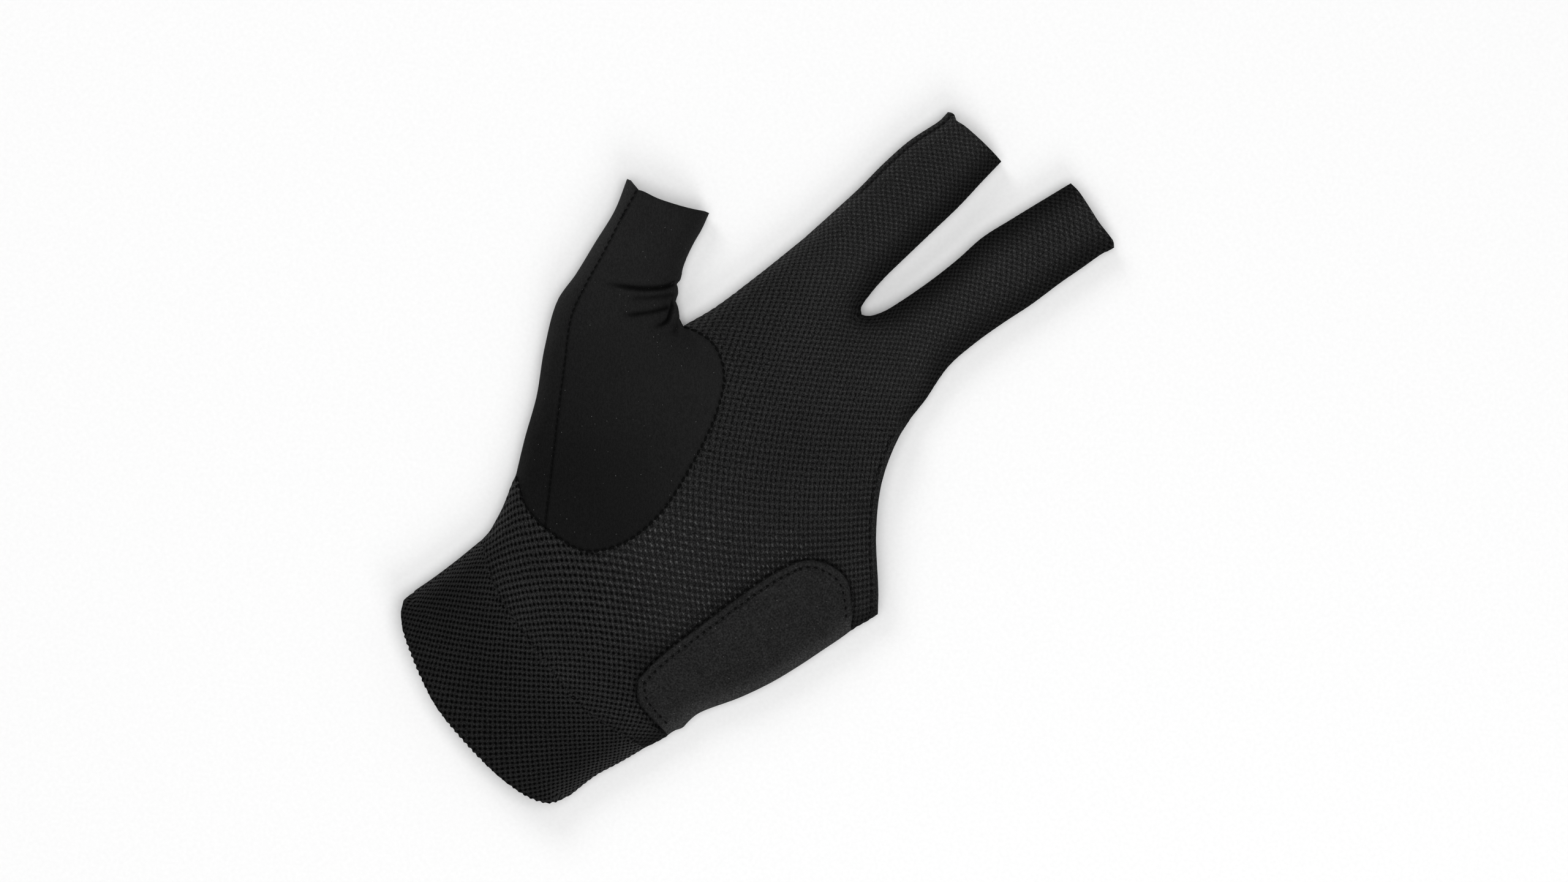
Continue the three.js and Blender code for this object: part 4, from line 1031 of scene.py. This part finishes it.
class GloveCloth(bpy.types.PropertyGroup):
    """Sizes and colours of the glove's cloth."""

    fine: IntProperty(
        name="Fineness", default=9, min=2, max=9,
        description="Fine steps for each coarse step of the mesh cloth")
    relief: FloatProperty(
        name="Mesh relief", default=0.13, description="Height of the mesh's knots in millimetres")
    bump: FloatProperty(
        name="Mesh bump", default=0.07, description="Depth of the shaded part of the net in millimetres")
    wander: FloatProperty(
        name="Unevenness", default=0.22, description="How far the net strays, in repeats")
    pore_edge: FloatProperty(
        name="Pore edge", default=0.12, description="Share of the net's swing at which a pore begins")
    yarn: colour_setting("Mesh yarn", "#232323", "sRGB colour of the mesh cloth between its knots")
    # The knots' colour is a lit copy of the yarn: a painted highlight
    knot: colour_setting("Mesh knots", "#4a4a4a", "sRGB colour of the yarn where it catches light")
    # Near black: partly the black cloth behind the pores, partly painted shade
    pore: colour_setting("Pores", "#030303", "sRGB colour seen through the pores")
    cuff_yarn: colour_setting("Cuff yarn", "#1e1e1e", "sRGB colour of the doubled mesh of the cuff")
    # A painted highlight, as the mesh knots
    cuff_knot: colour_setting("Cuff knots", "#292929", "sRGB colour of the cuff's yarn in the light")
    jersey: colour_setting("Smooth cloth", "#161616", "sRGB colour of the smooth stretch cloth")
    jersey_light: colour_setting("Smooth cloth light", "#1f1f1f", "sRGB colour of the smooth cloth's ribs")
    felt: colour_setting("Tab felt", "#171717", "sRGB colour of the tab's nap in its hollows")
    felt_light: colour_setting("Tab felt light", "#2c2c2c", "sRGB colour of the tips of the tab's nap")
    lint: colour_setting("Lint", "#606060", "sRGB colour of the specks of lint")
    thread: colour_setting("Thread", "#050505", "sRGB colour of the sewing thread")
    thread_light: colour_setting("Thread light", "#0c0c0c", "sRGB colour of the thread's twist")
    worn_thread: colour_setting("Worn thread", "#181818", "sRGB colour of thread whose top is rubbed")
    worn_light: colour_setting("Worn thread light", "#2c2c2c", "sRGB colour of the rubbed thread's twist")
    hooks: colour_setting("Hook tape", "#0c0c0d", "sRGB colour between the hooks of the hook patch")
    hooks_light: colour_setting("Hook tape light", "#1e1e20", "sRGB colour of the hooks")


class GloveStage(bpy.types.PropertyGroup):
    """The floor, the light and the camera."""

    centre: FloatVectorProperty(
        name="View centre", size=2, default=(0.01545, 0.0074), subtype="XYZ", unit="LENGTH",
        description="Point under the middle of the picture")
    width: FloatProperty(
        name="View width", default=0.4491, unit="LENGTH",
        description="Width that the picture covers at the glove")
    turn: FloatProperty(
        name="Turn", default=math.radians(53.2), unit="ROTATION",
        description="How far the picture is turned from the glove's frame")
    distance: FloatProperty(
        name="Camera height", default=1.6, unit="LENGTH", description="Height of the camera above the glove")
    dome: FloatProperty(
        name="Dome", default=0.22, description="Strength of the even light from all round")
    top: FloatProperty(
        name="Top light", default=52.0, description="Power of the wide light overhead in watts")
    sides: FloatProperty(
        name="Side lights", default=11.0, description="Power of each of the two low soft lights in watts")
    floor: colour_setting("Floor", "#f7f7f7", "sRGB colour of the floor")
    floor_fibre: colour_setting("Floor fibres", "#efefef", "sRGB colour of the floor's fibres")


def settings():
    return bpy.context.scene.glove_cloth


def shared_material(key, make):
    """The material of that name, made on its first use."""
    return bpy.data.materials.get(key) or make(key)


def mesh_cloth():
    c = settings()
    return shared_material("knitted_air_mesh", lambda n: mesh_material(n, c.yarn, c.pore, c.knot, c))


def doubled_mesh():
    """The pores of the doubled mesh are darkest in a wider middle."""
    c = settings()
    return shared_material(
        "doubled_air_mesh", lambda n: mesh_material(n, c.cuff_yarn, c.pore, c.cuff_knot, c, -0.75))


def smooth_cloth():
    c = settings()
    return shared_material(
        "brushed_stretch_jersey", lambda n: smooth_cloth_material(n, c.jersey, c.jersey_light, c.lint))


def sewing_thread():
    c = settings()
    return shared_material("spun_polyester_thread", lambda n: thread_material(n, c.thread, c.thread_light))


def worn_sewing_thread():
    c = settings()
    return shared_material(
        "spun_polyester_thread_worn", lambda n: thread_material(n, c.worn_thread, c.worn_light))


# Pieces

def hand_patches(side, wall, fine, relief, weave, inner_runs, outer_runs, finger_rows):
    """The hand and its two fingers as three patches that share the knuckle row."""
    halfway = 12
    hand_shares = crowded(24 * fine)
    knuckle = np.array([KNUCKLE_OUTER, FINGER_CROTCH, KNUCKLE_INNER], float)
    half_knuckle = np.abs(knuckle[1] - knuckle[0])[0] / (knuckle[2, 0] - knuckle[0, 0])
    to_half = np.interp(hand_shares, [0, 0.5, 1], [0, half_knuckle, 1])
    left, right = side_points(inner_runs, fine), side_points(outer_runs, fine)
    rows = len(left)
    blend = 1 - smooth(np.linspace(0, 1, rows), 0, 0.25)[:, None]
    shares = mix(hand_shares[None], to_half[None], blend)
    hand = plan_grid(left, right, knuckle, CUFF_SEAM_LINE, fine, shares)
    patches = [patch_of(hand, side, wall, fine, relief, weave, "wes")]
    own = crowded(halfway * fine)
    for k, (outer, inner, tip) in enumerate([
        (INDEX_OUTER, INDEX_INNER, INDEX_TIP_LINE), (MIDDLE_INNER, MIDDLE_OUTER, MIDDLE_TIP_LINE),
    ]):
        half = hand_shares[k * halfway * fine:(k + 1) * halfway * fine + 1]
        row = (half - half[0]) / (half[-1] - half[0])
        down = smooth(np.linspace(0, 1, finger_rows * fine + 1), 0.6, 1)[:, None]
        finger = plan_grid(
            spaced(outer, finger_rows * fine), spaced(inner, finger_rows * fine), tip, knuckle[k:k + 2],
            fine, mix(own[None], row[None], down))
        finger[-1] = hand[0, k * halfway * fine:(k + 1) * halfway * fine + 1]
        patches.append(patch_of(finger, side, wall, fine, relief, weave, "nwe"))
    return patches


def tip_distance(p):
    return np.minimum(distance_to(INDEX_TIP_LINE, p), distance_to(MIDDLE_TIP_LINE, p))


def palm_relief(s):
    """Knots, less a groove at each seam, plus the folded hem along the opening, rounded at open edges. A
    welt with a groove inside it runs down the index finger's outer fold."""
    opening = distance_to(OPENING_LINE, s.plan)
    seam = np.minimum(distance_to(PATCH_SEAM_LINE, s.plan), distance_to(PATCH_FOOT_LINE, s.plan))
    cuff = distance_to(CUFF_SEAM_LINE, s.plan)
    still = (1 - hem_share(s)) * smooth(seam, 0, 1.5) * smooth(cuff, 0, 1.0)
    welt = smooth(s.plan[..., 1], 62, 78) * (1 - smooth(s.plan[..., 0], -24, -20))
    hem = HEM_EXTRA * (1 - smooth(opening, HEM_WIDTH - 0.5, HEM_WIDTH + 0.3))
    hem += groove(opening - 1.75, 0.3, 0.3)
    sewn = (
        hem + groove(distance_to(TAB_OUTLINE, s.plan), 0.9, 0.7) + groove(seam, 0.3, 0.7)
        + groove(cuff, 0.15, 0.7) + welt * groove(s.near - 1.3, 0.45, 0.35))
    edge = edge_round(np.minimum(opening, tip_distance(s.plan)), EDGE_ROUND)
    return knobs(s, hand_lattice, settings().relief, still) + sewn * off_folds(s) + edge * off_folds(s)


def back_relief(s):
    """As the palm, but nothing stands below the surface that the glove lies on."""
    c = settings()
    opening = np.minimum(distance_to(OPENING_LINE, s.plan), tip_distance(s.plan))
    seam = distance_to(BACK_SEAM_LINE, s.plan)
    cuff = distance_to(CUFF_SEAM_LINE, s.plan)
    still = smooth(seam, 0, 1.5) * smooth(cuff, 0, 1.0)
    sewn = groove(seam, 0.5, 0.8) + groove(cuff, 0.15, 0.7) + edge_round(opening, EDGE_ROUND)
    sunk = c.relief * smooth(s.near, 0, 3)
    return knobs(s, hand_lattice, c.relief, still) - sunk + sewn * off_folds(s)


OUTER_RUNS = [(HAND_UPPER_OUTER_LINE, 2, 0), (OPENING_LINE, 11, 0), (HAND_OUTER_DRAWN, 21, 0)]


class GLOVE_OT_palm(bpy.types.Operator):
    """Mesh cloth over the palm, index and middle finger"""

    bl_idname = "glove.palm"
    bl_label = "Palm mesh"

    def execute(self, context):
        c = settings()
        inner_runs = [
            (HAND_UPPER_INNER_LINE, 8, 0), (PATCH_SEAM_LINE, 20, SEAM_GAP), (PATCH_FOOT_LINE, 3, SEAM_GAP),
            (HAND_INNER_LINE, 3, 0),
        ]
        patches = hand_patches(
            FRONT, MESH_WALL, c.fine, palm_relief, mesh_weave, inner_runs, OUTER_RUNS, 15)
        palm = cloth_piece("palm_mesh", patches, mesh_cloth())
        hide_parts("palm_panel")
        return {"FINISHED"}


class GLOVE_OT_back(bpy.types.Operator):
    """Mesh cloth over the back of the hand, index and middle finger"""

    bl_idname = "glove.back"
    bl_label = "Back mesh"

    def execute(self, context):
        c = settings()
        fine = max(2, c.fine - 3)
        inner_runs = [
            (HAND_UPPER_INNER_LINE, 8, 0), (BACK_SEAM_LINE, 22, BACK_SEAM_GAP), (HAND_INNER_LINE, 4, 0),
        ]
        patches = hand_patches(BACK, MESH_WALL, fine, back_relief, mesh_weave, inner_runs, OUTER_RUNS, 15)
        back = cloth_piece("back_mesh", patches, mesh_cloth())
        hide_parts("back_panel")
        return {"FINISHED"}


def no_weave(s):
    return np.zeros(s.plan.shape[:-1] + (6,))


def crease_depth(s):
    """How deep the creases lie at each point: a bell across each line, which fades over its last half and
    within 0.8 mm of the side fold."""
    depth = np.zeros(s.near.shape)
    for points, width, deep in CREASES:
        line = spaced(spline(points), 60)
        distance, _, number = nearest(line[:-1], line[1:], s.plan)
        depth = np.maximum(depth, deep * bell(distance, width) * (1 - smooth(number, 30, 60)))
    return depth * smooth(s.near, 0, 0.8)


def thumb_weave(s):
    """Only the shade is used, all of it painted: painted shade in the creases and along the front seam, which
    see little light, and a painted highlight beside the folds."""
    weave = no_weave(s)
    seam = 1 - 0.15 * bell(distance_to(THUMB_SEAM_LINE, s.plan), 0.5)
    inner = distance_to(THUMB_INNER_LINE, s.foot) < 1
    outer_light = painted_fold_light(s, 1.0, 2.6) * painted_fold_light(s, 0.08, 8)
    inner_light = painted_fold_light(s, 0.6, 1.8) * painted_fold_light(s, -0.12, 8)
    light = mix(outer_light, inner_light, inner)
    weave[..., 2] = light * seam * (1 - 0.8 * smooth(crease_depth(s), 0.0, 0.75))
    return weave


def thumb_relief(s):
    """Creases, grooves at the seams, and a rounded open edge at the tip."""
    seam = np.minimum(distance_to(PATCH_SEAM_LINE, s.plan), distance_to(PATCH_FOOT_LINE, s.plan))
    front = distance_to(THUMB_SEAM_LINE, s.plan)
    edge = edge_round(distance_to(THUMB_TIP_LINE, s.plan), EDGE_ROUND)
    return (groove(seam, 0.4, 0.7) + groove(front, 0.3, 0.5) + edge) * off_folds(s) - crease_depth(s)


def thumb_back_relief(s):
    seam = distance_to(BACK_SEAM_LINE, s.plan)
    edge = edge_round(distance_to(THUMB_TIP_LINE, s.plan), EDGE_ROUND)
    return (groove(seam, 0.5, 0.7) + edge) * off_folds(s)


class GLOVE_OT_thumb(bpy.types.Operator):
    """Smooth stretch cloth of the thumb: the front with its palm patch, and the back round the outer edge"""

    bl_idname = "glove.thumb"
    bl_label = "Thumb"

    def execute(self, context):
        fine = 8
        left = side_points([(THUMB_SEAM_LINE, 27, SEAM_GAP)], fine)
        right = side_points([(THUMB_INNER_LINE, 7, 0), (PATCH_SEAM_LINE, 20, -SEAM_GAP)], fine)
        # The front ends in a narrow foot where its two seams meet
        left[-1], right[-1] = (-6.0, -61.5), (-5.2, -61.9)
        shares = even_rows(crowded(24 * fine, first=False), len(left))
        plan = plan_grid(left, right, THUMB_TIP_LINE, np.array([left[-1], right[-1]]), fine, shares)
        front = cloth_piece("thumb_front", [
            patch_of(plan, FRONT, SMOOTH_WALL, fine, thumb_relief, thumb_weave, "nwes"),
        ], smooth_cloth())
        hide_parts("thumb_panel")

        fine = 6
        fold = side_points([(THUMB_OUTER_LINE, 27, 0)], fine)
        seam = side_points([(THUMB_SEAM_LINE, 27, -SEAM_GAP)], fine)
        foot = moved_aside(PATCH_FOOT_LINE, -SEAM_GAP)[::-1]
        seam[-1] = foot[-1]
        strip_top = np.array([fold[0], seam[0]])
        foot = np.vstack([fold[-1:], foot[1:]])
        shares = even_rows(crowded(24 * fine, last=False), len(fold))
        strip = plan_grid(fold, seam, strip_top, foot, fine, shares)
        under = side_points([(THUMB_INNER_LINE, 7, 0), (BACK_SEAM_LINE, 20, -BACK_SEAM_GAP)], fine)
        under[-1] = fold[-1]
        tip = np.vstack([fold[:1], THUMB_TIP_LINE])
        bottom = np.array([fold[-1], fold[-1] + [0.001, 0]])
        shares = even_rows(crowded(24 * fine), len(fold))
        underside = plan_grid(fold, under, tip, bottom, fine, shares)
        back = cloth_piece("thumb_back", [
            patch_of(strip, FRONT, SMOOTH_WALL, fine, thumb_relief, thumb_weave, "nes"),
            patch_of(underside, BACK, SMOOTH_WALL, fine, thumb_back_relief, thumb_weave, "ne"),
        ], smooth_cloth())
        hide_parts("thumb_back_panel")
        return {"FINISHED"}


def cuff_lattice(p):
    return net_of(row_counts(p, CUFF_ROWS))


def cuff_weave(s):
    u, v = ruffled(s, *cuff_lattice(s.laid))
    one = np.ones_like(u)
    inner = s.foot[..., 0] < 20
    # Painted highlights beside both side folds, stronger beside the inner one; the cuff is also lighter near
    # the wrist seam
    shade = mix(painted_fold_light(s, 1.1, 3.8), painted_fold_light(s, 1.4, 2.9), inner)
    shade *= 0.93 + 0.22 * bell(distance_to(CUFF_SEAM_LINE, s.plan), 8)
    return np.stack([u, v, shade, one, 0.3 * one, 0 * one], -1)


def cuff_relief(s, lowest=False):
    """As the palm's. On the lowest side nothing stands below the surface that the glove lies on."""
    depth = 1.25 * settings().relief
    seam = distance_to(CUFF_SEAM_LINE, s.plan)
    inner = 1 - smooth(s.plan[..., 0], -8, 0)
    sewn = groove(seam, 0.15, 0.7) * off_folds(s) + inner * groove(s.near - 0.8, 0.3, 0.3)
    edge = edge_round(distance_to(MOUTH_LINE, s.plan), CUFF_EDGE_ROUND)
    sunk = lowest * depth * smooth(s.near, 0, 3)
    return knobs(s, cuff_lattice, depth, smooth(seam, 0, 1.0)) + sewn + edge - sunk


def cuff_back_relief(s):
    return cuff_relief(s, lowest=True)


class GLOVE_OT_cuff(bpy.types.Operator):
    """Cuff of doubled mesh below the wrist seam"""

    bl_idname = "glove.cuff"
    bl_label = "Cuff"

    def execute(self, context):
        fine, rows = settings().fine, 9
        left, right = spaced(CUFF_INNER_LINE, rows * fine), spaced(CUFF_OUTER_LINE, rows * fine)
        # The cut edge at the mouth goes in and out by a loop of yarn
        mouth = spaced(MOUTH_LINE, 600)
        length = arc(mouth)
        ripple = RIPPLE_DEPTH * np.cos(2 * np.pi * length / RIPPLE_LENGTH)
        ripple *= smooth(length, 0, 4)
        ripple *= smooth(length[-1] - length, 0, 4)
        mouth = moved_aside(mouth, -1.0) * ripple[:, None] + mouth * (1 - ripple[:, None])
        shares = even_rows(crowded(24 * fine), len(left))
        plan = plan_grid(left, right, CUFF_SEAM_LINE, mouth, fine, shares)
        cuff = cloth_piece("cuff", [
            patch_of(plan, CUFF_FRONT, CUFF_WALL, fine, cuff_relief, cuff_weave, "ns"),
            patch_of(plan, CUFF_BACK, CUFF_WALL, fine, cuff_back_relief, cuff_weave, "ns"),
        ], doubled_mesh())
        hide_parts("cuff_band")
        return {"FINISHED"}


def tab_weave(s):
    """Only the shade is used: a painted highlight beside the side folds."""
    weave = no_weave(s)
    weave[..., 2] = painted_fold_light(s, 1.1, 3.2)
    return weave


def tab_relief(s):
    """A rounded edge and a shallow trough where it is sewn, 2 mm inside its outline."""
    edge = distance_to(TAB_OUTLINE, s.plan)
    return groove(edge - 2.0, 0.3, 0.45) + edge_round(edge, TAB_EDGE_ROUND) * smooth(s.near, 0, 1.5)


def no_relief(s):
    return np.zeros(s.near.shape)


class GLOVE_OT_tab(bpy.types.Operator):
    """Felt closure tab that wraps the outer wrist edge, over its hook patch"""

    bl_idname = "glove.tab"
    bl_label = "Closure tab"

    def execute(self, context):
        c = settings()
        fine, rows = 7, 22
        fold = spaced(TAB_FOLD, rows * fine)
        shares = even_rows(crowded(24 * fine, first=False), len(fold))
        inner = spaced(TAB_INNER_LINE, rows * fine)
        front = plan_grid(inner, fold, TAB_DOME_LINE, TAB_FOOT_LINE, fine, shares)
        # The leg beneath becomes narrower away from the fold, with bowed ends
        v = np.linspace(0, 1, len(fold))
        narrower = -3 * (1 - smooth(v, 0, 0.3)) + 3 * smooth(v, 0.7, 1)
        under = fold + np.stack([np.full_like(v, -TAB_UNDER_WIDTH), narrower], -1)
        ends = []
        for k, bow in ((0, 1.2), (-1, -1.2)):
            ends.append(spline(under[k], mix(under[k], fold[k], 0.6) + [0, bow], fold[k]))
        back = plan_grid(under, fold, *ends, fine, shares)
        felt = felt_material("brushed_loop_felt", c.felt, c.felt_light, c.lint)
        tab = cloth_piece("tab", [
            patch_of(front, TAB_FRONT, TAB_WALL, fine, tab_relief, tab_weave, "nws"),
            patch_of(back, TAB_BACK, TAB_WALL, fine, no_relief, tab_weave, "nws"),
        ], felt)
        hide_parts("closure_tab")
        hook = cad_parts["hook_patch"]
        hook.data.materials.clear()
        hook.data.materials.append(hook_material("moulded_hook_tape", c.hooks, c.hooks_light))
        return {"FINISHED"}


class GLOVE_OT_seams(bpy.types.Operator):
    """Every row of stitches, and the needle holes along the tab"""

    bl_idname = "glove.seams"
    bl_label = "Seams"

    def execute(self, context):
        thread, worn = sewing_thread(), worn_sewing_thread()
        patch_line = np.vstack([PATCH_SEAM_LINE, PATCH_FOOT_LINE[1:]])
        hem = spaced(OPENING_LINE, 300)
        hem_lines = [moved_aside(hem, -inset)[skip:-4] for inset, skip in ((1.5, 30), (2.05, 34))]
        tab_line = moved_aside(spaced(TAB_OUTLINE, 600), 2.0)[12:-12]
        wrist_line = spaced(CUFF_SEAM_LINE, 200)[4:-4]
        # Each has its rows of stitches: their length, gap, thickness, lift off the cloth and slant
        seams = [
            ("patch_stitches", "smooth_stretch_cloth", thread, [
                stitch_row(patch_line, FRONT, 1.7, 0.5, 0.6, 0.0, 0.12)]),
            ("thumb_stitches", "smooth_stretch_cloth", thread, [
                stitch_row(THUMB_SEAM_LINE, FRONT, 1.5, 0.5, 0.34, 0.02, -0.15),
                stitch_row(BARTACK, FRONT, 0.8, 0.3, 0.4, 0.05, -0.6)]),
            ("hem_stitches", "mesh_cloth", thread, [
                stitch_row(line, FRONT, 1.6, 0.6, 0.28, 0.1) for line in hem_lines]),
            ("cuff_stitches", "doubled_mesh_cloth", worn, [
                stitch_row(wrist_line, FRONT, 0.8, 1.9, 0.22, -0.04, 0.7)]),
            ("tab_stitches", "tab_felt", worn, [
                stitch_row(tab_line, TAB_FRONT, 1.2, 1.0, 0.34, -0.08)]),
            ("tab_needle_holes", "tab_felt", thread, [
                stitch_row(tab_line[5:], TAB_FRONT, 0.9, 1.3, 0.5, -0.06)]),
        ]
        for name, slot, material, rows in seams:
            points, triangles = joined(rows)
            piece_from(name, points, triangles, material, sharp=180)
        return {"FINISHED"}


class GLOVE_OT_stage(bpy.types.Operator):
    """Pale floor, soft light and the camera straight above"""

    bl_idname = "glove.stage"
    bl_label = "Stage"

    def execute(self, context):
        s = context.scene.glove_stage
        # A floor 6 m wide, just below the glove
        side = np.linspace(-3, 3, 9)
        x, y = np.meshgrid(side, side)
        points = np.stack([x, y, np.full_like(x, -0.0001)], -1).reshape(-1, 3)
        faces = quads(np.arange(x.size).reshape(x.shape))[:, ::-1]
        mesh = bpy.data.meshes.new("floor")
        mesh.from_pydata(points.tolist(), [], faces.tolist())
        mesh.materials.append(floor_material("white_paper_sweep", s.floor, s.floor_fibre))
        floor = bpy.data.objects.new("floor", mesh)
        context.scene.collection.objects.link(floor)

        world = bpy.data.worlds.new("even_daylight")
        world.use_nodes = True
        background = world.node_tree.nodes["Background"].inputs
        background["Color"].default_value = (1, 1, 1, 1)
        background["Strength"].default_value = s.dome
        context.scene.world = world

        for name, place, size, power in (
            ("wide_top", (0.3, 0.0, 2.6), 2.6, s.top), ("outer_side", (1.7, -0.45, 1.2), 1.0, s.sides),
            ("inner_side", (-1.7, 0.2, 1.2), 1.0, s.sides),
        ):
            lamp = bpy.data.lights.new(name, "AREA")
            lamp.shape, lamp.size, lamp.energy = "DISK", size, power
            light = bpy.data.objects.new(name, lamp)
            light.location = place
            tilt = math.atan2(math.hypot(*place[:2]), place[2])
            light.rotation_euler = (0, tilt, math.atan2(place[1], place[0]))
            light.visible_camera = False
            context.scene.collection.objects.link(light)

        view = bpy.data.cameras.new("above")
        view.sensor_width = 36
        view.lens = 36 * s.distance / s.width
        view.clip_end = 50
        camera = bpy.data.objects.new("above", view)
        camera.location = (*s.centre, s.distance + 0.008)
        camera.rotation_euler = (0, 0, s.turn)
        context.scene.collection.objects.link(camera)
        context.scene.camera = camera
        context.scene.view_settings.view_transform = "Standard"
        return {"FINISHED"}


class GLOVE_PT_panel(bpy.types.Panel):
    """Lists the glove's pieces in the order in which they are made"""

    bl_idname = "GLOVE_PT_panel"
    bl_label = "Billiard glove"
    bl_space_type = "VIEW_3D"
    bl_region_type = "UI"
    bl_category = "Glove"

    def draw(self, context):
        layout = self.layout
        for operator in OPERATORS:
            layout.operator(operator.bl_idname)
        for group in (context.scene.glove_cloth, context.scene.glove_stage):
            for name in group.__annotations__:
                layout.prop(group, name)


OPERATORS = (
    GLOVE_OT_stage, GLOVE_OT_back, GLOVE_OT_palm, GLOVE_OT_thumb, GLOVE_OT_cuff, GLOVE_OT_tab, GLOVE_OT_seams,
)
CLASSES = (GloveCloth, GloveStage, *OPERATORS, GLOVE_PT_panel)


def register():
    for cls in CLASSES:
        bpy.utils.register_class(cls)
    bpy.types.Scene.glove_cloth = PointerProperty(type=GloveCloth)
    bpy.types.Scene.glove_stage = PointerProperty(type=GloveStage)


def unregister():
    del bpy.types.Scene.glove_stage
    del bpy.types.Scene.glove_cloth
    for cls in reversed(CLASSES):
        bpy.utils.unregister_class(cls)


def main():
    """Makes every piece in order."""
    register()
    bpy.ops.glove.stage()
    bpy.ops.glove.back()
    bpy.ops.glove.palm()
    bpy.ops.glove.thumb()
    bpy.ops.glove.cuff()
    bpy.ops.glove.tab()
    bpy.ops.glove.seams()


if __name__ == "__main__":
    main()
